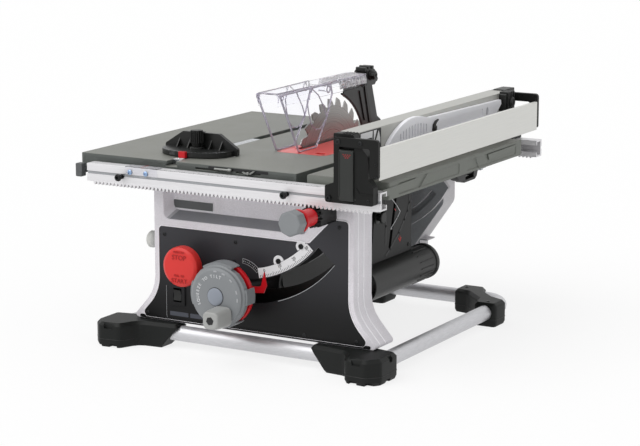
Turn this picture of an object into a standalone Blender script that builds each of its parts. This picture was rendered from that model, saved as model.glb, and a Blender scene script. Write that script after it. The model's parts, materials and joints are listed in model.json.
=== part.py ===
# Compact table saw. X is measured from the blade's plane, Y from the table's front edge, Z from the floor.
import math

import bmesh
import bpy
from mathutils import Vector

# Fits
GAP = 0.0003
PIN_GAP = 0.0003

# Table
TABLE_HEIGHT = 0.350
TABLE_LEFT = 0.322
TABLE_RIGHT = 0.133
TABLE_DEPTH = 0.590
TABLE_SKIN = 0.006
TABLE_SKIRT = 0.032
SKIRT_WALL = 0.006
RIB_WALL = 0.008
EDGE_STEP = 0.0005
SLOT_TO_BLADE = 0.126
SLOT_WIDTH = 0.0191
SLOT_DEPTH = 0.0095
SLOT_FOOT_WIDTH = 0.024
SLOT_FOOT = 0.003
SLOT_WALL = 0.004
STORE_SLOT_LENGTH = 0.050
STORE_SLOT_HEIGHT = 0.008

# Throat plate
THROAT_LEFT = 0.0205
THROAT_RIGHT = 0.0845
THROAT_FRONT = 0.183
THROAT_BACK = 0.560
THROAT_CORNER = 0.012
THROAT_PLATE = 0.003
THROAT_LEDGE = 0.005
KERF_LEFT = 0.0045
KERF_RIGHT = 0.0085
KERF_FRONT = 0.226
FINGER_HOLE = 0.018

# Extension table and rails
EXTENSION_LEFT = 0.154
EXTENSION_RIGHT = 0.313
EXTENSION_SKIN = 0.004
EXTENSION_SKIRT = 0.030
EXTENSION_END = 0.004
EXTENSION_LUG = 0.100
CORNER_LENGTH = 0.052
CORNER_WIDTH = 0.051
SIDE_POCKET = 0.0015
SIDE_POCKET_END = 0.036
SIDE_POCKET_SPLIT = 0.270
SIDE_POCKET_RIB = 0.030
RAIL_LEFT = -0.287
RAIL_RIGHT = 0.315
RAIL_FACE = 0.033
RAIL_DEPTH = 0.024
RAIL_DROP = 0.012
RAIL_HEIGHT = 0.032
RAIL_WALL = 0.003
RAIL_LIP = 0.009
RAIL_GROOVE = 0.005
GUIDE_LEFT = 0.0
GUIDE_RIGHT = 0.125

# Rack and pinion
GEAR_MODULE = 0.0025
PINION_TEETH = 14
RACK_ADDENDUM = 0.8
PRESSURE_ANGLE = math.radians(20)
BACKLASH = 0.0003
RACK_WIDTH = 0.007
RACK_ROOT = 0.0005
RACK_LEFT = -0.280
RACK_RIGHT = 0.310
PINION_WIDTH = 0.011
PINION_X = 0.181
CROSS_SHAFT_R = 0.005
BRACKET_WIDTH = 0.030
BRACKET_HEIGHT = 0.038
COLLAR_R = 0.0155
COLLAR_FLANGE_R = 0.0205
COLLAR_FLANGE = 0.005
COLLAR_LENGTH = 0.042
COLLAR_TRAVEL = 0.005
RAIL_KNOB_R = 0.023
RAIL_KNOB_LENGTH = 0.024

# Rip fence
FENCE_X = 0.235
FENCE_WIDTH = 0.036
FENCE_TOP = 0.0865
FENCE_LIFT = 0.0012
FENCE_WALL = 0.0025
FENCE_SHORT = 0.036
FENCE_BACK = TABLE_DEPTH - FENCE_SHORT
FENCE_FRONT = -0.026
HEAD_FRONT = -0.050
HEAD_WIDTH = 0.066
HEAD_FOOT_LEFT = 0.017
HEAD_FOOT_RIGHT = 0.010
HEAD_LOW = -0.0326
LEVER_INSET = 0.011
LEVER_WIDTH = 0.028
LEVER_PIVOT_Z = -0.024
LEVER_TOP = 0.060
LEVER_THICK = 0.009
LEVER_PROUD = 0.0025
LEVER_PIN_R = 0.002
ARM_THICK = 0.008
ARM_PIVOT_X = 0.248
ARM_PIVOT_Z = 0.0735
ARM_HALF = 0.008
ARM_PIN_R = 0.003
FLIP_PLATE_X = 0.321
FLIP_PLATE_THICK = 0.003
FLIP_PLATE_LOW = 0.013
FLIP_PLATE_HIGH = 0.067
HOOK_DEPTH = 0.0247
HOOK_LIP = 0.004
STICK_THICK = 0.008
STICK_LEDGE = 0.014
STICK_FRONT = 0.050
STICK_BACK = 0.510
STICK_GRIP_R = 0.078
STICK_TOP = 0.087
STICK_BAR = 0.025

# Blade, arbor and elevation
BLADE_R = 0.127
BLADE_TEETH = 24
BLADE_BODY = 0.0022
GULLET = 0.016
BLADE_Y = 0.353
ARBOR_DROP = 0.0476
ARBOR_R = 0.0078
FLANGE_R = 0.022
NUT_R = 0.0145
ELEVATION_TRAVEL = 0.081
ARM_LEFT = 0.040
ARM_RIGHT = 0.0115
MOTOR_R = 0.043
MOTOR_LENGTH = 0.110
MOTOR_FORWARD = 0.080
MOTOR_DROP = 0.040
BRAKE_REACH = 0.030
BRAKE_RIGHT = 0.0105
BRAKE_CLEAR = 0.003
BRAKE_REAR_GAP = 0.0039
BRAKE_SPAN = math.radians(24)
SHROUD_DROP = 0.243
SHROUD_TOP = 0.056

# Cradle and trunnions
TILT_MAX = math.radians(45)
ROD_R = 0.006
ROD_X = 0.025
ROD_Y = 0.150
BLOCK_DEPTH = 0.044
BLOCK_HALF = 0.033
BLOCK_TOP = 0.0553
BLOCK_HEIGHT = 0.080
SHELF = 0.0065
CRADLE_PLATE = 0.008
CRADLE_REAR_PLATE = 0.0117
CRADLE_HALF = 0.046
CRADLE_FOOT = 0.030
CRADLE_TONGUE = 0.045
CRADLE_BAR = 0.010
CRADLE_BAR_LOW = 0.165
CRADLE_BAR_HIGH = 0.115
TRUNNION_PLATE = 0.0097
TRUNNION_RIM = 0.020
TRUNNION_SLOT_R = 0.185
TILT_PIN_R = 0.006
TILT_PIN_ANGLE = math.radians(6)

# Handwheel
WHEEL_DROP = 0.222
WHEEL_SHAFT_R = 0.005
HUB_R = 0.014
HUB_FRONT = -0.0285
WHEEL_FRONT = -0.055
WHEEL_R = 0.056
WHEEL_DEPTH = 0.0245
CRANK_OFFSET_X = 0.018
CRANK_OFFSET_Z = -0.032
CRANK_LENGTH = 0.046
CRANK_HALF = 0.0165
CRANK_CORNER = 0.009
CRANK_END = 0.008
RING_R = 0.056
RING_DEPTH = 0.008
RING_TRAVEL = 0.005
SCALE_R = 0.2045
SCALE_BAND = 0.018
SCALE_THICK = 0.0012
POINTER_THICK = 0.0025
WHEEL_SLOT_LOW = 0.250
WHEEL_SLOT_HIGH = 0.2065

# Guard
SPREADER_THICK = 0.0024
SPREADER_CLEAR = 0.006
SPREADER_TOP = 0.090
SPREADER_BACK = 0.551
SPREADER_STEM_LOW = 0.130
SPREADER_TIP = 0.047
GUARD_HALF = 0.022
GUARD_WALL = 0.003
GUARD_LOW = 0.092
GUARD_HIGH = 0.116
GUARD_FRONT = 0.125
GUARD_BACK = 0.455
GUARD_TAB = 0.043
GUARD_TAB_INSET = 0.010
SHIELD_THICK = 0.0032
SHIELD_PIVOT_Y = 0.300
SHIELD_PIVOT_Z = 0.104
SHIELD_PIN_R = 0.005
GUARD_HEAD_HALF = 0.012

# Cabinet
PANEL_FRONT = 0.030
PANEL_DEPTH = 0.066
PANEL_LEFT = 0.185
PANEL_RIGHT = 0.230
PANEL_FLARE = 0.051
PANEL_KNEE = 0.246
PANEL_KNEE_R = 0.070
PANEL_WALL = 0.005
FACE_WALL = 0.010
POCKET_DEPTH = 0.022
POCKET_LEFT = -0.165
POCKET_RIGHT = 0.138
POCKET_TOP = 0.048
POCKET_LOW = 0.114
CONTROL_BORDER = 0.0095
CONTROL_SILL = 0.004
CONTROL_THICK = 0.004
CONTROL_LIP = 0.008
CONTROL_TOP = 0.126
NOTCH_X = 0.141
NOTCH_RISE = 0.046
REAR_PANEL_FRONT = 0.505
REAR_PANEL_DEPTH = 0.050
REAR_HALF = 0.164
REAR_KNEE = 0.134
REAR_FOOT_HALF = 0.045
REAR_FOOT_X = 0.010
SIDE_WALL = 0.0057
SIDE_LOW = 0.200
STORAGE_X = 0.199
STORAGE_WALL = 0.008
STORAGE_BACK = 0.290
STORE_GROOVE = 0.008
DUST_X = 0.203
DUST_DROP = 0.2115
DUST_R = 0.0318
DUST_BORE_R = 0.0290
DUST_FRONT = 0.105
DUST_BACK = 0.350

# Switches
PADDLE_X = -0.098
PADDLE_DROP = 0.187
PADDLE_R = 0.037
PADDLE_FRONT = -0.022
PADDLE_DEPTH = 0.022
PADDLE_STEM_R = 0.009
PADDLE_IN = 0.004
ROCKER_X = -0.135
ROCKER_DROP = 0.252
ROCKER_WIDTH = 0.016
ROCKER_HEIGHT = 0.024
ROCKER_DEPTH = 0.012
BEZEL_WALL = 0.008

# Base
TUBE_R = 0.0145
TUBE_Z = 0.027
LEFT_TUBE_X = -0.257
RIGHT_TUBE_X = 0.283
FRONT_TUBE_Y = 0.030
REAR_TUBE_Y = 0.550
TUBE_BEND = 0.050
TUBE_END = 0.004
FOOT_HEIGHT = 0.046
REAR_FOOT_HEIGHT = 0.046
CENTRE_FOOT_HEIGHT = 0.060
FOOT_CHAMFER = 0.006
SLEEVE_TOP = 0.131
SLEEVE_LOW = 0.096

# Mitre gauge
MITRE_BAR_WIDTH = 0.0185
MITRE_BAR_HEIGHT = 0.009
MITRE_BAR_FRONT = 0.020
MITRE_BAR_BACK = 0.290
MITRE_PIVOT_Y = 0.084
MITRE_HALF = 0.0775
MITRE_WALL = 0.008
MITRE_SET_BACK = 0.014
MITRE_HEIGHT = 0.038
MITRE_DISC_X = 0.070
MITRE_DISC_Y = 0.044
MITRE_DISC = 0.010
MITRE_BOSS_R = 0.013
MITRE_KNOB_R = 0.0115
MITRE_KNOB = 0.030
MITRE_STUD_R = 0.004

TOP = TABLE_HEIGHT
UP = Vector((0, 0, 1))
seats = {}


def spot(axis, u, v, w):
    return {"X": (w, u, v), "Y": (u, w, v), "Z": (u, v, w)}[axis]


def rounded(corners, steps=3):
    """A closed outline from corners (u, v, radius), with an arc at each corner that has a radius."""
    outline = []
    for i, (u, v, radius) in enumerate(corners):
        here = Vector((u, v))
        if not radius:
            outline.append((u, v))
            continue
        back = (Vector(corners[i - 1][:2]) - here).normalized()
        ahead = (Vector(corners[(i + 1) % len(corners)][:2]) - here).normalized()
        half = back.angle(ahead) / 2
        centre = here + (back + ahead).normalized() * radius / math.sin(half)
        start = here + back * radius / math.tan(half) - centre
        end = here + ahead * radius / math.tan(half) - centre
        first = math.atan2(start.y, start.x)
        sweep_angle = (math.atan2(end.y, end.x) - first + math.pi) % (2 * math.pi) - math.pi
        for k in range(steps + 1):
            turn = first + sweep_angle * k / steps
            outline.append((centre.x + radius * math.cos(turn), centre.y + radius * math.sin(turn)))
    return outline


def inset(corners, distance):
    """The corners of an anticlockwise outline, moved inwards."""
    moved = []
    for i, (u, v, radius) in enumerate(corners):
        here = Vector((u, v))
        first = (here - Vector(corners[i - 1][:2])).normalized()
        second = (Vector(corners[(i + 1) % len(corners)][:2]) - here).normalized()
        normals = Vector((-first.y, first.x)), Vector((-second.y, second.x))
        shift = (normals[0] + normals[1]) * distance / (1 + normals[0].dot(normals[1]))
        convex = first.x * second.y - first.y * second.x > 0
        changed = max(radius - distance, 0) if convex else radius + distance
        moved.append((u + shift.x, v + shift.y, changed if radius else 0))
    return moved


def rectangle(u0, v0, u1, v1, radius=0.0, steps=3):
    return rounded([(u0, v0, radius), (u1, v0, radius), (u1, v1, radius), (u0, v1, radius)], steps)


def circle(u, v, radius, steps=24):
    turns = [2 * math.pi * k / steps for k in range(steps)]
    return [(u + radius * math.cos(t), v + radius * math.sin(t)) for t in turns]


def polar(u, v, radius, angle):
    """A point at an angle from straight down, turning towards +u."""
    return (u + radius * math.sin(angle), v - radius * math.cos(angle))


def sector(u, v, inner, outer, first, last, steps=14):
    turns = [first + (last - first) * k / steps for k in range(steps + 1)]
    return [polar(u, v, outer, t) for t in turns] + [polar(u, v, inner, t) for t in reversed(turns)]


def prism(outline, low, high, axis, holes=()):
    bm = bmesh.new()
    rings = [[bm.verts.new(spot(axis, u, v, low)) for u, v in loop] for loop in (outline, *holes)]
    edges = [bm.edges.new(pair) for ring in rings for pair in zip(ring, ring[1:] + ring[:1])]
    if holes:
        bmesh.ops.triangle_fill(bm, use_beauty=True, edges=edges)
    else:
        bm.faces.new(rings[0])
    rise = Vector(spot(axis, 0, 0, high - low))
    above = {vert: bm.verts.new(vert.co + rise) for vert in bm.verts[:]}
    for face in bm.faces[:]:
        bm.faces.new([above[vert] for vert in face.verts])
    for edge in edges:
        a, b = edge.verts
        bm.faces.new((a, b, above[b], above[a]))
    bmesh.ops.recalc_face_normals(bm, faces=bm.faces)
    return bm


def loft(sections, axis):
    """A solid through outlines of equal point counts, given as (outline, place along the axis)."""
    bm = bmesh.new()
    rings = [[bm.verts.new(spot(axis, u, v, w)) for u, v in outline] for outline, w in sections]
    bm.faces.new(rings[0])
    bm.faces.new(rings[-1])
    for a, b in zip(rings, rings[1:]):
        for k in range(len(a)):
            n = (k + 1) % len(a)
            bm.faces.new((a[k], a[n], b[n], b[k]))
    bmesh.ops.recalc_face_normals(bm, faces=bm.faces)
    return bm


def box(x0, x1, y0, y1, z0, z1):
    return prism([(x0, y0), (x1, y0), (x1, y1), (x0, y1)], z0, z1, "Z")


def revolve(profile, axis, u, v, steps=24):
    """Points (radius, place along the axis) turned about the axis line through u, v."""
    bm = bmesh.new()
    rings = []
    for radius, along in profile:
        around = circle(u, v, radius, steps) if radius else [(u, v)]
        rings.append([bm.verts.new(spot(axis, a, b, along)) for a, b in around])
    pairs = list(zip(rings, rings[1:]))
    if profile[0][0]:
        pairs.append((rings[-1], rings[0]))
    for a, b in pairs:
        for k in range(steps):
            n = (k + 1) % steps
            corners = (a[k % len(a)], a[n % len(a)], b[n % len(b)], b[k % len(b)])
            face = list(dict.fromkeys(corners))
            if len(face) > 2:
                bm.faces.new(face)
    bmesh.ops.recalc_face_normals(bm, faces=bm.faces)
    return bm


def rod(radius, low, high, axis, u, v, steps=24):
    return prism(circle(u, v, radius, steps), low, high, axis)


def sweep(path, radius, steps=16):
    """A round bar along a level path."""
    bm = bmesh.new()
    rings = []
    for i, point in enumerate(path):
        ahead = path[min(i + 1, len(path) - 1)] - path[max(i - 1, 0)]
        side = Vector((ahead.y, -ahead.x, 0)).normalized()
        turns = [2 * math.pi * k / steps for k in range(steps)]
        rings.append([bm.verts.new(point + radius * (side * math.cos(t) + UP * math.sin(t))) for t in turns])
    bm.faces.new(rings[0])
    bm.faces.new(rings[-1])
    for a, b in zip(rings, rings[1:]):
        for k in range(steps):
            n = (k + 1) % steps
            bm.faces.new((a[k], a[n], b[n], b[k]))
    bmesh.ops.recalc_face_normals(bm, faces=bm.faces)
    return bm


def finish(name, rgb, roughness, metallic=0.0, alpha=1.0):
    material = bpy.data.materials.new(name)
    material.use_nodes = True
    shader = material.node_tree.nodes["Principled BSDF"]
    shader.inputs["Base Color"].default_value = (*rgb, 1)
    shader.inputs["Roughness"].default_value = roughness
    shader.inputs["Metallic"].default_value = metallic
    shader.inputs["Alpha"].default_value = alpha
    return material


def pivot(name, at, parent=None):
    empty = bpy.data.objects.new(name, None)
    bpy.context.scene.collection.objects.link(empty)
    seats[name] = Vector(at)
    empty.parent = parent
    empty.location = seats[name] - (seats[parent.name] if parent else Vector())
    return empty


def mesh_object(name, bm, parent):
    bmesh.ops.translate(bm, verts=bm.verts, vec=-seats[parent.name])
    mesh = bpy.data.meshes.new(name)
    bm.to_mesh(mesh)
    bm.free()
    mesh.polygons.foreach_set("use_smooth", [True] * len(mesh.polygons))
    mesh.set_sharp_from_angle(angle=math.radians(32))
    obj = bpy.data.objects.new(name, mesh)
    bpy.context.scene.collection.objects.link(obj)
    obj.parent = parent
    return obj


def node(name, bm, material, parent, joins=(), cuts=()):
    body = mesh_object(name, bm, parent)
    body.data.materials.append(material)
    for operation, helpers in (("UNION", joins), ("DIFFERENCE", cuts)):
        for number, helper in enumerate(helpers):
            tool = mesh_object(f"{name}_{operation.lower()}_{number}", helper, parent)
            tool.hide_render = True
            tool.display_type = "WIRE"
            modifier = body.modifiers.new(tool.name, "BOOLEAN")
            modifier.operation = operation
            modifier.solver = "EXACT"
            modifier.object = tool
    return body


for old in list(bpy.data.objects):
    bpy.data.objects.remove(old, do_unlink=True)

coat = finish("textured_table_coat", (0.25, 0.25, 0.23), 0.55, 0.3)
black = finish("black_moulding", (0.035, 0.037, 0.036), 0.5)
charcoal = finish("charcoal_moulding", (0.06, 0.062, 0.06), 0.55)
silver = finish("silver_paint", (0.63, 0.61, 0.64), 0.35, 0.5)
aluminium = finish("anodised_aluminium", (0.72, 0.72, 0.73), 0.28, 1.0)
steel = finish("bright_steel", (0.55, 0.54, 0.53), 0.25, 1.0)
cast = finish("cast_aluminium", (0.38, 0.38, 0.39), 0.5, 1.0)
red = finish("red_moulding", (0.69, 0.03, 0.025), 0.4)
grey = finish("grey_moulding", (0.25, 0.26, 0.27), 0.45)
pale = finish("pale_moulding", (0.58, 0.58, 0.65), 0.4)
white = finish("white_scale", (0.85, 0.85, 0.85), 0.5)
clear = finish("clear_polycarbonate", (0.95, 0.95, 0.97), 0.05, 0.0, 0.3)

saw = pivot("saw", (0, 0, 0))


# Table top: one long profile with its slot, closed by skirts and ribs
def table_profile():
    slot = SLOT_WIDTH / 2
    foot = SLOT_FOOT_WIDTH / 2
    step = SLOT_DEPTH - SLOT_FOOT
    middle = -SLOT_TO_BLADE
    wall = foot + SLOT_WALL
    across = [(-TABLE_LEFT, -TABLE_SKIRT), (-TABLE_LEFT + SKIRT_WALL, -TABLE_SKIRT)]
    across += [(-TABLE_LEFT + SKIRT_WALL, -TABLE_SKIN), (middle - wall, -TABLE_SKIN)]
    across += [(middle - wall, -SLOT_DEPTH - SLOT_WALL), (middle + wall, -SLOT_DEPTH - SLOT_WALL)]
    across += [(middle + wall, -TABLE_SKIN), (TABLE_RIGHT - SKIRT_WALL, -TABLE_SKIN)]
    across += [(TABLE_RIGHT - SKIRT_WALL, -TABLE_SKIRT), (TABLE_RIGHT, -TABLE_SKIRT), (TABLE_RIGHT, 0)]
    across += [(middle + slot, 0), (middle + slot, -step), (middle + foot, -step)]
    across += [(middle + foot, -SLOT_DEPTH), (middle - foot, -SLOT_DEPTH), (middle - foot, -step)]
    across += [(middle - slot, -step), (middle - slot, 0)]
    across += [(-TABLE_LEFT, 0)]
    return [(x, TOP + z) for x, z in across]


def table_web(y0, y1):
    half = SLOT_FOOT_WIDTH / 2 + SLOT_WALL / 2
    left = -TABLE_LEFT + SKIRT_WALL / 2
    right = TABLE_RIGHT - SKIRT_WALL / 2
    low = TOP - TABLE_SKIRT + EDGE_STEP
    high = TOP - TABLE_SKIN / 2
    under_slot = TOP - SLOT_DEPTH - SLOT_WALL / 2
    outline = [(left, low), (right, low), (right, high), (-SLOT_TO_BLADE + half, high)]
    outline += [(-SLOT_TO_BLADE + half, under_slot), (-SLOT_TO_BLADE - half, under_slot)]
    outline += [(-SLOT_TO_BLADE - half, high), (left, high)]
    return prism(outline, y0, y1, "Y")


throat = [
    (-THROAT_LEFT, THROAT_FRONT, THROAT_CORNER),
    (THROAT_RIGHT, THROAT_FRONT, THROAT_CORNER),
    (THROAT_RIGHT, THROAT_BACK, THROAT_CORNER),
    (-THROAT_LEFT, THROAT_BACK, THROAT_CORNER),
]
webs = [
    table_web(EDGE_STEP, EDGE_STEP + SKIRT_WALL),
    table_web(TABLE_DEPTH - EDGE_STEP - SKIRT_WALL, TABLE_DEPTH - EDGE_STEP),
    table_web(PANEL_FRONT, PANEL_FRONT + RIB_WALL),
    table_web(REAR_PANEL_FRONT + RIB_WALL, REAR_PANEL_FRONT + 2 * RIB_WALL),
]
store_slots = []
for slot_x in (-0.075, 0.010):
    low = TOP - TABLE_SKIN - STORE_SLOT_HEIGHT / 2
    store_slots.append(box(slot_x, slot_x + STORE_SLOT_LENGTH, -0.01, 0.02, low, low + STORE_SLOT_HEIGHT / 2))
node(
    "table_top",
    prism(table_profile(), 0, TABLE_DEPTH, "Y"),
    coat,
    saw,
    joins=webs,
    cuts=[
        prism(rounded(throat), TOP - THROAT_PLATE - GAP, TOP + 0.01, "Z"),
        prism(rounded(inset(throat, THROAT_LEDGE)), TOP - TABLE_SKIRT - 0.01, TOP + 0.01, "Z"),
        *store_slots,
    ],
)

spreader_stem_back = REAR_PANEL_FRONT - GAP - TRUNNION_PLATE - GAP
spreader_stem_front = spreader_stem_back - CRADLE_REAR_PLATE
kerf = rectangle(-KERF_LEFT, KERF_FRONT, KERF_RIGHT, spreader_stem_back + GAP + KERF_LEFT, KERF_LEFT)
finger = rectangle(0.055, THROAT_FRONT + 0.014, 0.055 + FINGER_HOLE, THROAT_FRONT + 0.026, 0.003)
node(
    "throat_plate",
    prism(rounded(inset(throat, GAP)), TOP - THROAT_PLATE, TOP, "Z", [kerf, finger]),
    red,
    saw,
)

# Rails: the front one is drawn, the rear one is its mirror across the table
rails = pivot("rail_slide", (RAIL_RIGHT, -RAIL_FACE, TOP - RAIL_DROP), saw)
rail_high = TOP - RAIL_DROP
rail_low = rail_high - RAIL_HEIGHT
rail_mid = (rail_high + rail_low) / 2
rail_back = -RAIL_FACE + RAIL_DEPTH
pitch_radius = GEAR_MODULE * PINION_TEETH / 2
rack_pitch_z = rail_low - RACK_ROOT - 1.25 * GEAR_MODULE
pinion_z = rack_pitch_z - pitch_radius
tooth_pitch = math.pi * GEAR_MODULE


def rail_profile():
    front = -RAIL_FACE
    cavity = front + 2 * RAIL_WALL
    half = RAIL_GROOVE / 2
    groove = [(front + RAIL_WALL, rail_mid - half), (front, rail_mid - half)]
    profile = [(front, rail_low), (rail_back, rail_low), (rail_back, rail_low + RAIL_LIP)]
    profile += [(rail_back - RAIL_WALL, rail_low + RAIL_LIP), (rail_back - RAIL_WALL, rail_low + RAIL_WALL)]
    profile += [(cavity, rail_low + RAIL_WALL), (cavity, rail_high - RAIL_WALL)]
    profile += [(rail_back - RAIL_WALL, rail_high - RAIL_WALL), (rail_back - RAIL_WALL, rail_high - RAIL_LIP)]
    profile += [(rail_back, rail_high - RAIL_LIP), (rail_back, rail_high), (front, rail_high)]
    profile += [(front, rail_mid + half), (front + RAIL_WALL, rail_mid + half), *groove]
    return profile


def rack_outline():
    """Straight-sided teeth that point down, with a gap above the pinion's centre."""
    tip = rack_pitch_z - RACK_ADDENDUM * GEAR_MODULE
    root = rail_low - RACK_ROOT
    slope = math.tan(PRESSURE_ANGLE)
    half_pitch = tooth_pitch / 4 - BACKLASH / 2
    half_tip = half_pitch - slope * (rack_pitch_z - tip)
    half_root = half_pitch + slope * (root - rack_pitch_z)
    first = math.ceil((RACK_LEFT + tooth_pitch - PINION_X) / tooth_pitch - 0.5)
    last = math.floor((RACK_RIGHT - tooth_pitch - PINION_X) / tooth_pitch - 0.5)
    outline = [(RACK_LEFT, rail_low + RAIL_WALL / 2), (RACK_LEFT, root)]
    for k in range(first, last + 1):
        middle = PINION_X + (k + 0.5) * tooth_pitch
        outline += [(middle - half_root, root), (middle - half_tip, tip)]
        outline += [(middle + half_tip, tip), (middle + half_root, root)]
    return outline + [(RACK_RIGHT, root), (RACK_RIGHT, rail_low + RAIL_WALL / 2)]


def guide_profile():
    neck = RAIL_LIP + GAP
    head = RAIL_WALL + GAP
    head_front = -RAIL_FACE + 2 * RAIL_WALL + GAP
    head_back = rail_back - RAIL_WALL - GAP
    profile = [(head_front, rail_low + head), (head_back, rail_low + head), (head_back, rail_low + neck)]
    profile += [(-GAP, rail_low + neck), (-GAP, rail_high - neck), (head_back, rail_high - neck)]
    profile += [(head_back, rail_high - head), (head_front, rail_high - head)]
    return profile


def across_table(outline):
    return [(TABLE_DEPTH - y, z) for y, z in outline]


rack_front = -RAIL_FACE
for side, mirror, face in (
    ("front", lambda outline: outline, rack_front),
    ("rear", across_table, TABLE_DEPTH - rack_front - RACK_WIDTH),
):
    node(
        f"{side}_rail",
        prism(mirror(rail_profile()), RAIL_LEFT, RAIL_RIGHT, "X"),
        aluminium,
        rails,
        joins=[prism(rack_outline(), face, face + RACK_WIDTH, "Y")],
    )
    node(f"{side}_rail_guide", prism(mirror(guide_profile()), GUIDE_LEFT, GUIDE_RIGHT, "X"), black, saw)


# Extension table, carried between the rails
def extension_profile(low):
    wall = EXTENSION_SKIN
    high = TOP - EXTENSION_SKIN
    across = [(EXTENSION_LEFT, low), (EXTENSION_LEFT + wall, low), (EXTENSION_LEFT + wall, high)]
    across += [(EXTENSION_RIGHT - wall, high), (EXTENSION_RIGHT - wall, low), (EXTENSION_RIGHT, low)]
    return across + [(EXTENSION_RIGHT, TOP), (EXTENSION_LEFT, TOP)]


extension_low = TOP - EXTENSION_SKIRT
extension_joins = []
lug_middle = (EXTENSION_LEFT + EXTENSION_RIGHT) / 2
rear_seat = TABLE_DEPTH - rail_back - GAP
for y0, y1 in ((EXTENSION_END, rail_back + GAP), (TABLE_DEPTH - EXTENSION_END, rear_seat)):
    inward = EXTENSION_SKIN if y0 > y1 else -EXTENSION_SKIN
    ends = sorted((y0, y0 - inward))
    extension_joins.append(
        box(
            EXTENSION_LEFT + EDGE_STEP,
            EXTENSION_RIGHT - EDGE_STEP,
            ends[0],
            ends[1],
            extension_low + EDGE_STEP,
            TOP - EDGE_STEP,
        )
    )
    lug = sorted((y1, y0 - inward / 2))
    lug_x = lug_middle - EXTENSION_LUG / 2
    lug_low = extension_low + 2 * EDGE_STEP
    extension_joins.append(box(lug_x, lug_x + EXTENSION_LUG, lug[0], lug[1], lug_low, rail_high - RAIL_WALL))
corner_x = EXTENSION_RIGHT - CORNER_WIDTH
corner_y = TABLE_DEPTH - EXTENSION_END - CORNER_LENGTH
corner_back = TABLE_DEPTH - EXTENSION_END - EDGE_STEP
wall_low = extension_low + 3 * EDGE_STEP
wall_high = TOP - 3 * EDGE_STEP
wall_x = corner_x - EXTENSION_SKIN
wall_y = corner_y - EXTENSION_SKIN
spare = 0.001
extension_joins.append(
    box(wall_x, EXTENSION_RIGHT - 2 * EDGE_STEP, wall_y, corner_y + spare, wall_low, wall_high)
)
extension_joins.append(
    box(
        wall_x + EDGE_STEP,
        corner_x + spare,
        wall_y + EDGE_STEP,
        corner_back,
        wall_low + EDGE_STEP,
        wall_high - EDGE_STEP,
    )
)
corner_cut = box(corner_x, EXTENSION_RIGHT + 0.01, corner_y, rear_seat + 0.01, lug_low - 0.01, TOP + 0.01)
side_pockets = []
pocket_spans = [(SIDE_POCKET_END, SIDE_POCKET_SPLIT)]
pocket_spans += [(SIDE_POCKET_SPLIT + SIDE_POCKET_RIB, corner_y - SIDE_POCKET_END + 0.012)]
for y0, y1 in pocket_spans:
    pocket = rectangle(y0, extension_low + 0.005, y1, TOP - 0.006, 0.004)
    side_pockets.append(prism(pocket, EXTENSION_RIGHT - SIDE_POCKET, EXTENSION_RIGHT + 0.01, "X"))
node(
    "extension_table",
    prism(extension_profile(extension_low), EXTENSION_END, TABLE_DEPTH - EXTENSION_END, "Y"),
    charcoal,
    rails,
    joins=extension_joins,
    cuts=[*side_pockets, corner_cut],
)


# Cross shaft and pinions that move both rails together
def gear_outline(u, v, teeth, module):
    pitch = module * teeth / 2
    base = pitch * math.cos(PRESSURE_ANGLE)
    tip = pitch + module - GAP
    root = pitch - 1.25 * module

    def involute(radius):
        return math.sqrt((radius / base) ** 2 - 1) - math.acos(base / radius)

    half = math.pi / (2 * teeth) - BACKLASH / (2 * pitch) + involute(pitch)
    radii = [base, pitch, tip]
    outline = []
    for k in range(teeth):
        middle = 2 * math.pi * k / teeth
        flank = [(root, half)] + [(radius, half - involute(radius)) for radius in radii]
        points = [(radius, middle - turn) for radius, turn in flank]
        points += [(radius, middle + turn) for radius, turn in reversed(flank)]
        outline += [(u + radius * math.sin(turn), v + radius * math.cos(turn)) for radius, turn in points]
    return outline


pinion_spin = pivot("pinion_spin", (PINION_X, 0, pinion_z), saw)
pinion_front = rack_front + RACK_WIDTH / 2 - PINION_WIDTH / 2
rear_pinion_front = TABLE_DEPTH - pinion_front - PINION_WIDTH
shaft_bore = circle(PINION_X, pinion_z, CROSS_SHAFT_R + PIN_GAP, 12)
collar_back = pinion_front - GAP
collar_front = collar_back - COLLAR_LENGTH
knob_back = collar_front - COLLAR_TRAVEL - GAP
knob_front = knob_back - RAIL_KNOB_LENGTH
shaft_front = knob_front + RAIL_KNOB_LENGTH / 2
gear = gear_outline(PINION_X, pinion_z, PINION_TEETH, GEAR_MODULE)
shaft_stop = rear_pinion_front + PINION_WIDTH
node(
    "cross_shaft",
    rod(CROSS_SHAFT_R, shaft_front, shaft_stop, "Y", PINION_X, pinion_z, 12),
    steel,
    pinion_spin,
    joins=[prism(gear, rear_pinion_front, shaft_stop - EDGE_STEP, "Y")],
)
node(
    "front_pinion",
    prism(gear, pinion_front, pinion_front + PINION_WIDTH, "Y", [shaft_bore]),
    black,
    pinion_spin,
)
knob_side = RAIL_KNOB_R * math.cos(math.pi / 8)
node(
    "rail_knob",
    loft(
        [
            (circle(PINION_X, pinion_z, RAIL_KNOB_R - 0.002, 8), knob_front),
            (circle(PINION_X, pinion_z, RAIL_KNOB_R, 8), knob_front + 0.003),
            (circle(PINION_X, pinion_z, RAIL_KNOB_R, 8), knob_back - 0.002),
            (circle(PINION_X, pinion_z, knob_side - 0.001, 8), knob_back),
        ],
        "Y",
    ),
    grey,
    pinion_spin,
    cuts=[rod(CROSS_SHAFT_R + PIN_GAP, shaft_front - GAP, knob_back + 0.01, "Y", PINION_X, pinion_z)],
)
collar_slide = pivot("collar_slide", (PINION_X, collar_front, pinion_z), pinion_spin)
collar_bore = CROSS_SHAFT_R + PIN_GAP
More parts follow.
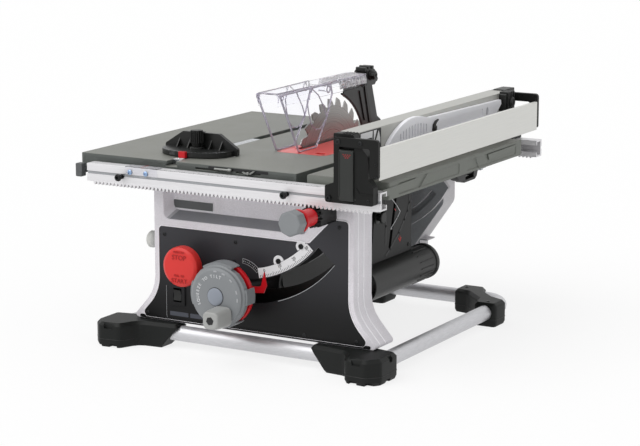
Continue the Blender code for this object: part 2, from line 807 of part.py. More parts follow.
node(
    "rail_lock_collar",
    revolve(
        [
            (collar_bore, collar_front),
            (COLLAR_FLANGE_R - 0.001, collar_front),
            (COLLAR_FLANGE_R, collar_front + 0.001),
            (COLLAR_FLANGE_R, collar_front + COLLAR_FLANGE),
            (COLLAR_R, collar_front + COLLAR_FLANGE + 0.001),
            (COLLAR_R, collar_back),
            (collar_bore, collar_back),
        ],
        "Y",
        PINION_X,
        pinion_z,
    ),
    red,
    collar_slide,
)
bracket_outline = rectangle(
    PINION_X - BRACKET_WIDTH / 2,
    pinion_z - BRACKET_HEIGHT / 2,
    PINION_X + BRACKET_WIDTH / 2,
    pinion_z + BRACKET_HEIGHT / 2,
    0.006,
)
node(
    "front_pinion_bracket",
    prism(bracket_outline, pinion_front + PINION_WIDTH + GAP, PANEL_FRONT - GAP, "Y", [shaft_bore]),
    black,
    saw,
)
rear_bracket = rectangle(
    REAR_HALF + GAP,
    pinion_z - BRACKET_HEIGHT / 2,
    PINION_X + BRACKET_WIDTH / 2,
    pinion_z + BRACKET_HEIGHT / 2,
    0.004,
)
node(
    "rear_pinion_bracket",
    prism(rear_bracket, REAR_PANEL_FRONT, REAR_PANEL_FRONT + REAR_PANEL_DEPTH, "Y", [shaft_bore]),
    black,
    saw,
)

# Rip fence on the rails
fence_low = TOP + FENCE_LIFT
fence_high = TOP + FENCE_TOP
fence_right = FENCE_X + FENCE_WIDTH
head_back = -RAIL_FACE - GAP
ledge_low = TOP + STICK_LEDGE - 0.004
beam_outline = [(FENCE_X, fence_low), (fence_right, fence_low), (fence_right, ledge_low)]
beam_outline += [(fence_right + STICK_THICK, ledge_low), (fence_right + STICK_THICK, TOP + STICK_LEDGE)]
beam_outline += [(fence_right, TOP + STICK_LEDGE), (fence_right, fence_high), (FENCE_X, fence_high)]
beam_hollow = rectangle(
    FENCE_X + FENCE_WALL, fence_low + FENCE_WALL, fence_right - FENCE_WALL, fence_high - FENCE_WALL
)
node("fence_beam", prism(beam_outline, FENCE_FRONT, FENCE_BACK, "Y", [beam_hollow]), aluminium, rails)

lever_left = FENCE_X + LEVER_INSET
lever_right = lever_left + LEVER_WIDTH
lever_y = HEAD_FRONT - LEVER_PROUD + LEVER_THICK / 2
lever_z = TOP + LEVER_PIVOT_Z
head_right = FENCE_X + HEAD_WIDTH
foot_left = FENCE_X - HEAD_FOOT_LEFT
foot_right = head_right + HEAD_FOOT_RIGHT
head_low = TOP + HEAD_LOW
head_outline = [(foot_left, head_low, 0.004), (foot_right, head_low, 0.004), (foot_right, TOP - 0.002, 0.003)]
head_outline += [(head_right, TOP + 0.012, 0.006), (head_right, TOP + 0.050, 0.010)]
head_outline += [(fence_right, fence_high, 0.003), (FENCE_X, fence_high, 0.002)]
head_outline += [(FENCE_X, TOP + 0.002, 0.003), (foot_left, TOP - 0.004, 0.003)]
head_rear = [(FENCE_X, rail_high + GAP), (fence_right, rail_high + GAP), (fence_right, fence_high - 0.0005)]
head_rear += [(FENCE_X + EDGE_STEP, fence_high - EDGE_STEP)]
lever_pocket_low = lever_z - LEVER_THICK / 2 - GAP
lever_pocket = box(
    lever_left - GAP,
    lever_right + GAP,
    HEAD_FRONT - 0.02,
    lever_y + LEVER_THICK / 2 + GAP,
    lever_pocket_low,
    TOP + LEVER_TOP + 0.006,
)
pin_cut = rod(LEVER_PIN_R + PIN_GAP, lever_left - 0.004, lever_right + 0.004, "X", lever_y, lever_z, 12)
arm_x = ARM_PIVOT_X
arm_z = TOP + ARM_PIVOT_Z
arm_bore = rod(ARM_PIN_R + PIN_GAP, HEAD_FRONT - 0.010, HEAD_FRONT + 0.010, "Y", arm_x, arm_z, 12)
node(
    "fence_head",
    prism(rounded(head_outline), HEAD_FRONT, head_back, "Y"),
    charcoal,
    rails,
    joins=[prism(head_rear, head_back - 0.002, FENCE_FRONT - GAP, "Y")],
    cuts=[lever_pocket, pin_cut, arm_bore],
)
lever_swing = pivot("lever_swing", ((lever_left + lever_right) / 2, lever_y, lever_z), rails)
lever_half = LEVER_THICK / 2
lever_outline = [polar(lever_y, lever_z, lever_half, math.radians(a)) for a in range(-90, 91, 22)]
lever_outline = [(lever_y - lever_half, lever_z)] + lever_outline[1:-1] + [(lever_y + lever_half, lever_z)]
lever_outline += [(lever_y + lever_half, TOP + LEVER_TOP), (lever_y - lever_half + 0.002, TOP + LEVER_TOP)]
lever_outline += [(lever_y - lever_half, TOP + LEVER_TOP - 0.003)]
node(
    "fence_lock_lever",
    prism(lever_outline, lever_left, lever_right, "X"),
    charcoal,
    lever_swing,
    joins=[rod(LEVER_PIN_R, lever_left - 0.0035, lever_right + 0.0035, "X", lever_y, lever_z, 12)],
)

hook_front = FENCE_BACK + GAP
hook_back = hook_front + HOOK_DEPTH
rear_rail_back = TABLE_DEPTH + RAIL_FACE
tail_low = rail_high + GAP
node(
    "fence_rear_hook",
    prism(
        rectangle(FENCE_X, fence_low, fence_right, fence_high, 0.003),
        hook_front,
        hook_back,
        "Y",
    ),
    charcoal,
    rails,
    joins=[
        box(
            FENCE_X + EDGE_STEP,
            fence_right - EDGE_STEP,
            hook_back - 0.006,
            rear_rail_back + GAP + HOOK_LIP,
            fence_low + EDGE_STEP,
            TOP + 0.010,
        ),
        box(
            FENCE_X + 2 * EDGE_STEP,
            fence_right - 2 * EDGE_STEP,
            TABLE_DEPTH + GAP,
            rear_rail_back + GAP + HOOK_LIP - EDGE_STEP,
            tail_low,
            TOP + 0.006,
        ),
        box(
            FENCE_X + 3 * EDGE_STEP,
            fence_right - 3 * EDGE_STEP,
            rear_rail_back + GAP,
            rear_rail_back + GAP + HOOK_LIP - 2 * EDGE_STEP,
            rail_mid,
            TOP + 0.004,
        ),
    ],
    cuts=[rod(ARM_PIN_R + PIN_GAP, hook_back - 0.010, hook_back + 0.01, "Y", arm_x, arm_z, 12)],
)

flip_swing = pivot("flip_swing", (arm_x, 0, arm_z), rails)
plate_low = TOP + FLIP_PLATE_LOW
plate_high = TOP + FLIP_PLATE_HIGH
arm_front = HEAD_FRONT - GAP
rear_arm_back = hook_back + GAP + ARM_THICK
plate_right = FLIP_PLATE_X + FLIP_PLATE_THICK
plate_outline = [(FLIP_PLATE_X, plate_low), (plate_right, plate_low), (plate_right, plate_high)]
plate_outline += [(FLIP_PLATE_X - 0.004, plate_high), (FLIP_PLATE_X - 0.004, plate_high - 0.003)]
plate_outline += [(FLIP_PLATE_X, plate_high - 0.003)]
node("flip_plate", prism(plate_outline, arm_front + GAP, hook_back, "Y"), aluminium, flip_swing)
arm_corners = [
    (arm_x - ARM_HALF, arm_z - ARM_HALF, ARM_HALF - 0.001),
    (plate_right - 2 * ARM_HALF, arm_z - ARM_HALF, 0.004),
    (plate_right - 2 * ARM_HALF, plate_low + 0.003, 0.004),
    (plate_right, plate_low + 0.003, 0.004),
    (plate_right, arm_z + ARM_HALF, 0.006),
    (arm_x - ARM_HALF, arm_z + ARM_HALF, ARM_HALF - 0.001),
]
arm_outline = rounded(arm_corners)
node(
    "flip_arm_front",
    prism(arm_outline, arm_front - ARM_THICK, arm_front, "Y"),
    black,
    flip_swing,
    joins=[rod(ARM_PIN_R, arm_front - 0.002, arm_front + 0.009, "Y", arm_x, arm_z, 12)],
)
node(
    "flip_arm_rear",
    prism(arm_outline, hook_back + GAP, rear_arm_back, "Y"),
    black,
    flip_swing,
    joins=[rod(ARM_PIN_R, hook_back - 0.009, hook_back + GAP + 0.002, "Y", arm_x, arm_z, 12)],
)


# Push stick, stored beside the beam on its ledge
stick_lift = pivot("stick_lift", (fence_right, STICK_FRONT, TOP + STICK_LEDGE), rails)
stick_low = TOP + STICK_LEDGE + GAP
stick_high = TOP + STICK_TOP
grip_y = STICK_FRONT + STICK_GRIP_R
grip_z = stick_high - STICK_GRIP_R
bar_high = stick_high - 0.010
stick_outline = [(STICK_FRONT + 0.006, stick_low), (grip_y + 0.050, stick_low)]
stick_outline += [(grip_y + STICK_GRIP_R + 0.006, bar_high - STICK_BAR - 0.020)]
stick_outline += [(grip_y + STICK_GRIP_R + 0.030, bar_high - STICK_BAR)]
stick_outline += [(STICK_BACK - 0.070, bar_high - STICK_BAR)]
stick_outline += [(STICK_BACK - 0.055, stick_low + 0.020), (STICK_BACK - 0.020, stick_low + 0.006)]
stick_outline += [(STICK_BACK, stick_low + 0.012), (STICK_BACK - 0.012, bar_high - 0.006)]
stick_outline += [(STICK_BACK - 0.030, bar_high), (grip_y + STICK_GRIP_R * 0.80, bar_high - 0.004)]
stick_outline += [
    (grip_y + STICK_GRIP_R * math.sin(math.radians(a)), grip_z + STICK_GRIP_R * math.cos(math.radians(a)))
    for a in range(36, -85, -10)
]
stick_hole = circle(STICK_BACK - 0.075, bar_high - STICK_BAR / 2, 0.004, 12)
node(
    "push_stick",
    prism(stick_outline, fence_right + GAP, fence_right + GAP + STICK_THICK, "X", [stick_hole]),
    pale,
    stick_lift,
)

# Tilting cradle: all that leans with the blade turns about the line where the blade meets the table
tilt = pivot("tilt", (0, 0, TOP), saw)
panel_back = PANEL_FRONT + PANEL_DEPTH
trunnion_front = panel_back + GAP
cradle_front = trunnion_front + TRUNNION_PLATE + GAP
wheel_z = TOP - WHEEL_DROP
shelf_low = TOP - BLOCK_TOP + GAP
gearbox_high = TOP - BLOCK_TOP - BLOCK_HEIGHT - ELEVATION_TRAVEL - GAP
gearbox_low = wheel_z - 2.1 * WHEEL_SHAFT_R - WHEEL_SHAFT_R * 2
block_back = ROD_Y + BLOCK_DEPTH / 2
rear_trunnion_front = REAR_PANEL_FRONT - GAP - TRUNNION_PLATE
bar_low = TOP - CRADLE_BAR_LOW
bar_high_z = TOP - CRADLE_BAR_HIGH
shelf_high = shelf_low + SHELF
front_plate = [(-CRADLE_FOOT, gearbox_low), (CRADLE_FOOT, gearbox_low)]
front_plate += [(CRADLE_HALF, bar_low), (CRADLE_HALF, bar_high_z)]
front_plate += [(BLOCK_HALF, shelf_high), (-BLOCK_HALF, shelf_high)]
front_plate += [(-CRADLE_HALF, bar_high_z), (-CRADLE_HALF, bar_low)]
notch = SPREADER_THICK / 2 + GAP
stem_low = TOP - SPREADER_STEM_LOW
tongue_low = bar_low - CRADLE_TONGUE
rear_plate = [(-CRADLE_FOOT, tongue_low), (CRADLE_FOOT, tongue_low), (CRADLE_HALF, bar_low)]
rear_plate += [(CRADLE_HALF, bar_high_z), (notch, bar_high_z + 0.012), (notch, stem_low)]
rear_plate += [(-notch, stem_low), (-notch, bar_high_z + 0.012)]
rear_plate += [(-CRADLE_HALF, bar_high_z), (-CRADLE_HALF, bar_low)]


def tilt_pins(y0, y1):
    return [
        rod(TILT_PIN_R, y0, y1, "Y", *polar(0, TOP, TRUNNION_SLOT_R, turn), 16)
        for turn in (-TILT_PIN_ANGLE, TILT_PIN_ANGLE)
    ]


rods = [rod(ROD_R, gearbox_high - 0.004, shelf_low + 0.003, "Z", x, ROD_Y, 16) for x in (-ROD_X, ROD_X)]
node(
    "tilt_cradle",
    prism(front_plate, cradle_front, cradle_front + CRADLE_PLATE, "Y"),
    cast,
    tilt,
    joins=[
        prism(rear_plate, spreader_stem_front, spreader_stem_back, "Y"),
        box(
            CRADLE_HALF - CRADLE_BAR,
            CRADLE_HALF - EDGE_STEP,
            cradle_front + EDGE_STEP,
            spreader_stem_back - EDGE_STEP,
            bar_low + EDGE_STEP,
            bar_high_z - EDGE_STEP,
        ),
        box(
            -BLOCK_HALF + EDGE_STEP,
            BLOCK_HALF - EDGE_STEP,
            cradle_front + EDGE_STEP,
            ROD_Y + ROD_R + 0.004,
            shelf_low,
            shelf_high - EDGE_STEP,
        ),
        box(
            -BLOCK_HALF,
            BLOCK_HALF,
            cradle_front + 2 * EDGE_STEP,
            ROD_Y + ROD_R + 0.006,
            gearbox_low + EDGE_STEP,
            gearbox_high,
        ),
        rod(HUB_R, HUB_FRONT, cradle_front + 0.004, "Y", 0, wheel_z),
        *tilt_pins(trunnion_front + EDGE_STEP, cradle_front + 0.003),
        *tilt_pins(spreader_stem_back - 0.003, rear_trunnion_front + TRUNNION_PLATE - EDGE_STEP),
        *rods,
    ],
    cuts=[
        rod(WHEEL_SHAFT_R + PIN_GAP, HUB_FRONT - 0.01, ROD_Y - ROD_R - 2 * GAP, "Y", 0, wheel_z),
        rod(ROD_R + PIN_GAP, gearbox_low + 0.004 - GAP, gearbox_high + 0.01, "Z", 0, ROD_Y, 16),
    ],
)


# Trunnion plates under the table, whose curved slots guide the cradle's pins
def trunnion(y0, y1, open_top):
    first = -2 * TILT_PIN_ANGLE - math.radians(8)
    last = TILT_MAX + 2 * TILT_PIN_ANGLE + math.radians(4)
    high = TOP - TABLE_SKIN - GAP
    steps = 10
    turns = [first + (last - first) * k / steps for k in range(steps + 1)]
    outline = [polar(0, TOP, TRUNNION_SLOT_R + TRUNNION_RIM, turn) for turn in turns]
    outline += [(THROAT_RIGHT + 0.040, TOP - TABLE_SKIRT - 0.004), (THROAT_RIGHT + 0.040, high)]
    if open_top:
        outline += [(THROAT_RIGHT + GAP, high), (THROAT_RIGHT + GAP, TOP - 0.020)]
        outline += [(-THROAT_LEFT - GAP, TOP - 0.020), (-THROAT_LEFT - GAP, high)]
    outline += [(-THROAT_LEFT - 0.050, high)]
    slack = (TILT_PIN_R + PIN_GAP) / TRUNNION_SLOT_R + math.radians(0.5)
    half = TILT_PIN_R + PIN_GAP
    slot = sector(
        0,
        TOP,
        TRUNNION_SLOT_R - half,
        TRUNNION_SLOT_R + half,
        -TILT_PIN_ANGLE - slack,
        TILT_MAX + TILT_PIN_ANGLE + slack,
        20,
    )
    return prism(outline, y0, y1, "Y", [slot])


node("front_trunnion", trunnion(trunnion_front, trunnion_front + TRUNNION_PLATE, False), cast, saw)
node("rear_trunnion", trunnion(rear_trunnion_front, rear_trunnion_front + TRUNNION_PLATE, True), cast, saw)

# Elevation: the arbor housing rides the cradle's rods on a screw
elevation = pivot("elevation", (0, ROD_Y, TOP - BLOCK_TOP), tilt)
arbor_z = TOP - ARBOR_DROP
screw_spin = pivot("screw_spin", (0, ROD_Y, gearbox_low), tilt)
screw_low = gearbox_low + 0.004
node("elevation_screw", rod(ROD_R, screw_low, shelf_low - GAP, "Z", 0, ROD_Y, 16), steel, screw_spin)
motor_y = BLADE_Y - MOTOR_FORWARD
motor_z = arbor_z - MOTOR_DROP
arm_outline = [
    (ROD_Y, TOP - BLOCK_TOP - BLOCK_HEIGHT + EDGE_STEP, 0),
    (motor_y - MOTOR_R, motor_z - MOTOR_R * 0.9, 0.015),
    (motor_y + MOTOR_R * 0.8, motor_z - MOTOR_R, 0.012),
    (BLADE_Y + 0.010, arbor_z - 0.062, 0.010),
    (BLADE_Y + 0.070, arbor_z - 0.135, 0.008),
    (BLADE_Y + 0.105, arbor_z - 0.130, 0.008),
    (BLADE_Y + 0.115, arbor_z - 0.105, 0.008),
    (BLADE_Y + 0.030, arbor_z + 0.016, 0.016),
    (BLADE_Y - 0.030, arbor_z + 0.020, 0.012),
    (block_back, TOP - BLOCK_TOP - EDGE_STEP, 0),
    (ROD_Y, TOP - BLOCK_TOP - EDGE_STEP, 0),
]
block_under = TOP - BLOCK_TOP - 2 * BLOCK_HEIGHT
block_holes = [rod(ROD_R + PIN_GAP, block_under, TOP, "Z", x, ROD_Y, 16) for x in (-ROD_X, 0, ROD_X)]
node(
    "arbor_housing",
    prism(rounded(arm_outline), -ARM_LEFT, -ARM_RIGHT, "X"),
    cast,
    elevation,
    joins=[
        box(
            -ARM_LEFT + EDGE_STEP,
            BLOCK_HALF,
            ROD_Y - BLOCK_DEPTH / 2,
            block_back,
            TOP - BLOCK_TOP - BLOCK_HEIGHT,
            TOP - BLOCK_TOP,
        )
    ],
    cuts=[*block_holes, rod(ARBOR_R + PIN_GAP, -ARM_LEFT - 0.01, 0, "X", BLADE_Y, arbor_z)],
)
motor_left = -ARM_LEFT - GAP - MOTOR_LENGTH
node(
    "motor",
    revolve(
        [
            (0, motor_left),
            (MOTOR_R * 0.55, motor_left),
            (MOTOR_R * 0.62, motor_left + 0.010),
            (MOTOR_R * 0.95, motor_left + 0.014),
            (MOTOR_R, motor_left + 0.020),
            (MOTOR_R, -ARM_LEFT - GAP - 0.012),
            (MOTOR_R * 0.9, -ARM_LEFT - GAP - 0.009),
            (MOTOR_R * 0.9, -ARM_LEFT - GAP),
            (0, -ARM_LEFT - GAP),
        ],
        "X",
        motor_y,
        motor_z,
        20,
    ),
    black,
    elevation,
)
brake_inner = BLADE_R + BRAKE_CLEAR
brake_outer = brake_inner + BRAKE_REACH
brake_last = math.asin((spreader_stem_front - BRAKE_REAR_GAP - BLADE_Y) / brake_outer)
brake = sector(BLADE_Y, arbor_z, brake_inner, brake_outer, brake_last - BRAKE_SPAN, brake_last, 6)
node("brake_cartridge", prism(brake, -ARM_RIGHT + GAP, BRAKE_RIGHT, "X"), black, elevation)

# Shroud beside the blade, fixed to the cradle
shroud_front = cradle_front + CRADLE_PLATE + GAP
shroud_back = spreader_stem_front - GAP
shroud_low = TOP - SHROUD_DROP
shroud_corners = [
    (shroud_front, shroud_low, 0.020),
    (shroud_back - 0.060, shroud_low, 0.030),
    (shroud_back, shroud_low + 0.060, 0.020),
    (shroud_back, TOP - SHROUD_TOP, 0.006),
    (shroud_front, TOP - SHROUD_TOP, 0.006),
]
shroud_left = BLOCK_HALF + GAP
node(
    "blade_shroud",
    prism(rounded(shroud_corners), shroud_left, CRADLE_HALF - CRADLE_BAR - GAP, "X"),
    black,
    tilt,
)

# Blade on its arbor
blade_spin = pivot("blade_spin", (0, BLADE_Y, arbor_z), elevation)


def blade_outline():
    step = 2 * math.pi / BLADE_TEETH
    gullet = [(0.06, 0.85), (0.16, 1.0), (0.32, 0.92), (0.46, 0.55), (0.62, 0.22)]
    outline = []
    for k in range(BLADE_TEETH):
        tooth = math.radians(95) + k * step
        marks = [(0.0, 0.0), *gullet]
        outline += [
            (
                BLADE_Y + (BLADE_R - GULLET * deep) * math.cos(tooth + step * along),
                arbor_z + (BLADE_R - GULLET * deep) * math.sin(tooth + step * along),
            )
            for along, deep in marks
        ]
    return outline


half_blade = BLADE_BODY / 2
arbor_bore = circle(BLADE_Y, arbor_z, ARBOR_R + PIN_GAP)
node("blade", prism(blade_outline(), -half_blade, half_blade, "X", [arbor_bore]), steel, blade_spin)
flange_left = -ARM_RIGHT + GAP
washer = half_blade + GAP
node(
    "arbor",
    revolve(
        [
            (0, -ARM_LEFT + 0.001),
            (ARBOR_R, -ARM_LEFT + 0.001),
            (ARBOR_R, flange_left),
            (FLANGE_R, flange_left),
            (FLANGE_R, -half_blade - GAP),
            (ARBOR_R, -half_blade - GAP),
            (ARBOR_R, 0.026),
            (ARBOR_R - 0.0015, 0.028),
            (0, 0.028),
        ],
        "X",
        BLADE_Y,
        arbor_z,
    ),
    steel,
    blade_spin,
)
nut_outline = circle(BLADE_Y, arbor_z, NUT_R, 6)
node(
    "arbor_nut",
    prism(circle(BLADE_Y, arbor_z, FLANGE_R), washer, washer + 0.005, "X", [arbor_bore]),
    steel,
    blade_spin,
    joins=[prism(nut_outline, washer + 0.004, washer + 0.016, "X", [arbor_bore])],
)

# Handwheel, its crank knob and the red ring squeezed to free the tilt
wheel_spin = pivot("wheel_spin", (0, WHEEL_FRONT, wheel_z), tilt)
wheel_back = WHEEL_FRONT + WHEEL_DEPTH
shaft_tip = WHEEL_FRONT + WHEEL_DEPTH / 2
scallop_r = 0.030
scallops = []
for k in range(6):
    centre = polar(0, wheel_z, WHEEL_R + scallop_r - 0.003, math.radians(30 + 60 * k))
    scallops.append(rod(scallop_r, WHEEL_FRONT + 0.010, wheel_back + 0.01, "Y", *centre, 20))
crank_x = CRANK_OFFSET_X
crank_z = wheel_z + CRANK_OFFSET_Z
pin_front = WHEEL_FRONT - CRANK_LENGTH + CRANK_END
node(
    "handwheel",
    revolve(
        [
            (0, WHEEL_FRONT - 0.001),
            (0.012, WHEEL_FRONT - 0.001),
            (0.013, WHEEL_FRONT),
            (WHEEL_R - 0.009, WHEEL_FRONT),
            (WHEEL_R - 0.004, WHEEL_FRONT + 0.003),
            (WHEEL_R - 0.004, WHEEL_FRONT + 0.008),
            (WHEEL_R, WHEEL_FRONT + 0.010),
            (WHEEL_R, wheel_back - 0.004),
            (WHEEL_R - 0.004, wheel_back),
            (0, wheel_back),
        ],
        "Y",
        0,
        wheel_z,
        30,
    ),
    grey,
    wheel_spin,
    joins=[
        rod(0.004, pin_front, WHEEL_FRONT + 0.004, "Y", crank_x, crank_z, 12),
        rod(WHEEL_SHAFT_R, shaft_tip, ROD_Y - ROD_R - 3 * GAP, "Y", 0, wheel_z, 16),
    ],
    cuts=scallops,
)
crank_spin = pivot("crank_spin", (crank_x, WHEEL_FRONT, crank_z), wheel_spin)
crank_back = WHEEL_FRONT - GAP
crank_front = crank_back - CRANK_LENGTH


def crank_section(slimmer):
    half = CRANK_HALF - slimmer
    low = crank_z - half
    return rectangle(crank_x - half, low, crank_x + half, low + 2 * half, CRANK_CORNER, 3)


node(
    "crank_knob",
    loft(
        [
            (crank_section(0.003), crank_front),
            (crank_section(0.001), crank_front + 0.002),
            (crank_section(0), crank_front + 0.012),
            (crank_section(-0.001), crank_back - 0.004),
            (crank_section(0.001), crank_back),
        ],
        "Y",
    ),
    grey,
    crank_spin,
    cuts=[
        rod(0.004 + PIN_GAP, pin_front - GAP, crank_back + 0.01, "Y", crank_x, crank_z, 12),
        rod(0.005, crank_front - 0.01, crank_front + 0.006, "Y", crank_x, crank_z, 12),
    ],
)
ring_slide = pivot("ring_slide", (0, HUB_FRONT, wheel_z), tilt)
ring_front = wheel_back + GAP + RING_TRAVEL
node(
    "tilt_release_ring",
    revolve(
        [
            (HUB_R + PIN_GAP, ring_front + 0.001),
            (RING_R - 0.009, ring_front),
            (RING_R - 0.001, ring_front),
            (RING_R, ring_front + 0.001),
            (RING_R, ring_front + RING_DEPTH),
            (HUB_R + PIN_GAP, ring_front + RING_DEPTH),
        ],
        "Y",
        0,
        wheel_z,
        32,
    ),
    red,
    ring_slide,
)
control_front = PANEL_FRONT + GAP
scale_front = control_front - GAP - SCALE_THICK
pointer_front = scale_front - GAP - POINTER_THICK
pointer_ring = [polar(0, wheel_z, HUB_R + 0.005, math.radians(a)) for a in range(105, 436, 15)]
pointer_tail = [(0.038, wheel_z + 0.006), (0.044, wheel_z + 0.008), (0.0505, wheel_z + 0.034)]
pointer_tail += [(0.056, wheel_z + 0.010), (0.050, wheel_z - 0.004), (0.030, wheel_z - 0.006)]
node(
    "bevel_pointer",
    prism(
        pointer_ring + list(reversed(pointer_tail)),
        pointer_front,
        pointer_front + POINTER_THICK,
        "Y",
        [circle(0, wheel_z, HUB_R + PIN_GAP)],
    ),
    red,
    tilt,
)


# Spreader and clear guard
def spreader_outline():
    arc = SPREADER_CLEAR + BLADE_R
    stem_front = spreader_stem_front + GAP
    stem_back = spreader_stem_back - GAP
    foot = TOP + 0.004
    low_turn = math.asin((foot - arbor_z) / arc)
    high_turn = math.acos(SPREADER_TIP / arc)
    steps = 8
    turns = [high_turn + (low_turn - high_turn) * k / steps for k in range(steps + 1)]
    outline = [(BLADE_Y + arc * math.cos(t), arbor_z + arc * math.sin(t)) for t in turns]
    under_bar = TOP + GUARD_HIGH - GUARD_WALL - GAP
    tab_back = GUARD_BACK - GUARD_TAB_INSET
    tab_front = tab_back - GUARD_TAB
    outline += [(stem_front, foot), (stem_front, stem_low + GAP)]
    outline += [(stem_back, stem_low + GAP), (stem_back, foot)]
    outline += [(SPREADER_BACK, foot), (SPREADER_BACK, TOP + 0.013), (SPREADER_BACK - 0.015, TOP + 0.022)]
    outline += [(SPREADER_BACK - 0.038, TOP + SPREADER_TOP), (tab_back, TOP + SPREADER_TOP)]
    outline += [(tab_back, under_bar), (tab_front, under_bar), (tab_front, TOP + SPREADER_TOP)]
    return outline


half_spreader = SPREADER_THICK / 2
guard_head = rounded(
    [
        (GUARD_BACK + 0.010, TOP + SPREADER_TOP - 0.002, 0.002),
        (0.506, TOP + SPREADER_TOP - 0.002, 0.002),
        (0.516, TOP + SPREADER_TOP + 0.010, 0.005),
        (0.506, TOP + 0.118, 0.005),
        (0.482, TOP + 0.121, 0.005),
        (GUARD_BACK + 0.010, TOP + 0.108, 0.005),
    ]
)
node(
    "spreader",
    prism(spreader_outline(), -half_spreader, half_spreader, "X"),
    black,
    tilt,
    joins=[prism(guard_head, -GUARD_HEAD_HALF, GUARD_HEAD_HALF, "X")],
)
guard_profile = [(-GUARD_HALF, GUARD_LOW), (-GUARD_HALF + GUARD_WALL, GUARD_LOW)]
guard_profile += [(-GUARD_HALF + GUARD_WALL, GUARD_HIGH - GUARD_WALL)]
guard_profile += [(GUARD_HALF - GUARD_WALL, GUARD_HIGH - GUARD_WALL), (GUARD_HALF - GUARD_WALL, GUARD_LOW)]
guard_profile += [(GUARD_HALF, GUARD_LOW), (GUARD_HALF, GUARD_HIGH - GUARD_WALL)]
guard_profile += [(GUARD_HALF - GUARD_WALL, GUARD_HIGH), (-GUARD_HALF + GUARD_WALL, GUARD_HIGH)]
guard_profile += [(-GUARD_HALF, GUARD_HIGH - GUARD_WALL)]
shield_y = SHIELD_PIVOT_Y
shield_z = TOP + SHIELD_PIVOT_Z
pin_half = GUARD_HALF + GAP + SHIELD_THICK
node(
    "guard_bar",
    prism([(x, TOP + z) for x, z in guard_profile], GUARD_FRONT, GUARD_BACK, "Y"),
    clear,
    tilt,
    joins=[rod(SHIELD_PIN_R, -pin_half, pin_half, "X", shield_y, shield_z, 16)],
)
shield_corners = [
    (0.127, TOP + 0.112, 0.006),
    (0.194, TOP + 0.0012, 0.006),
    (0.256, TOP + 0.0012, 0.010),
    (0.296, TOP + 0.052, 0.012),
    (0.316, TOP + 0.094, 0.008),
    (0.310, TOP + 0.114, 0.006),
]
shield_hole = circle(shield_y, shield_z, SHIELD_PIN_R + PIN_GAP, 16)
for side, inner in (("left", -GUARD_HALF - GAP - SHIELD_THICK), ("right", GUARD_HALF + GAP)):
    swing = pivot(f"{side}_shield_swing", (inner, shield_y, shield_z), tilt)
    node(
        f"{side}_shield",
        prism(rounded(shield_corners), inner, inner + SHIELD_THICK, "X", [shield_hole]),
        clear,
        swing,
    )

# Front panel: a flared pale shell with a pocket above and the control panel set into its face
panel_high = TOP - TABLE_SKIRT - GAP
panel_low = FOOT_HEIGHT + GAP
panel_knee = TOP - PANEL_KNEE
panel_corners = [
    (-PANEL_LEFT - PANEL_FLARE, panel_low, 0.006),
    (PANEL_RIGHT + PANEL_FLARE, panel_low, 0.006),
    (PANEL_RIGHT, panel_knee, PANEL_KNEE_R),
    (PANEL_RIGHT, panel_high, 0.010),
    (-PANEL_LEFT, panel_high, 0.010),
    (-PANEL_LEFT, panel_knee, PANEL_KNEE_R),
]


def at_height(first, second, height):
    """Where the line through two corners reaches a height."""
    along = (height - first[1]) / (second[1] - first[1])
    return first[0] + along * (second[0] - first[0]), height


border = inset(panel_corners, CONTROL_BORDER)
control_low = panel_low + CONTROL_SILL
control_high = TOP - CONTROL_TOP
notch_high = control_high + NOTCH_RISE
control_corners = [
    (*at_height(border[0], border[5], control_low), 0.008),
    (*at_height(border[1], border[2], control_low), 0.008),
    border[2],
    (border[3][0], notch_high, 0.008),
    (NOTCH_X + NOTCH_RISE, notch_high, 0.006),
    (NOTCH_X, control_high, 0.006),
    (border[4][0], control_high, 0.008),
    border[5],
]
hollow = inset(panel_corners, PANEL_WALL)
low_hollow = [hollow[0], hollow[1], hollow[2], (hollow[3][0], TOP - POCKET_LOW - PANEL_WALL, 0)]
low_hollow += [(hollow[4][0], TOP - POCKET_LOW - PANEL_WALL, 0), hollow[5]]
pocket = rectangle(POCKET_LEFT, TOP - POCKET_LOW, POCKET_RIGHT, TOP - POCKET_TOP, 0.012)
pocket_floor = rectangle(
    POCKET_LEFT + 0.010, TOP - POCKET_LOW + 0.016, POCKET_RIGHT - 0.006, TOP - POCKET_TOP - 0.004, 0.012
)
hollow_front = PANEL_FRONT + POCKET_DEPTH + PANEL_WALL
control_seat = control_front + CONTROL_THICK + GAP
node(
    "front_panel",
    prism(rounded(panel_corners), PANEL_FRONT, panel_back, "Y"),
    silver,
    saw,
    cuts=[
        prism(rounded(hollow), hollow_front, panel_back + 0.01, "Y"),
        prism(rounded(low_hollow), PANEL_FRONT + FACE_WALL, hollow_front + 0.01, "Y"),
        loft(
            [
                (pocket, PANEL_FRONT - 0.001),
                (pocket_floor, PANEL_FRONT + POCKET_DEPTH),
            ],
            "Y",
        ),
        prism(rounded(inset(control_corners, -GAP)), PANEL_FRONT - 0.01, control_seat, "Y"),
        prism(rounded(inset(control_corners, CONTROL_LIP)), PANEL_FRONT - 0.01, hollow_front + 0.01, "Y"),
        rod(CROSS_SHAFT_R + PIN_GAP, PANEL_FRONT - 0.01, hollow_front + 0.01, "Y", PINION_X, pinion_z),
    ],
)

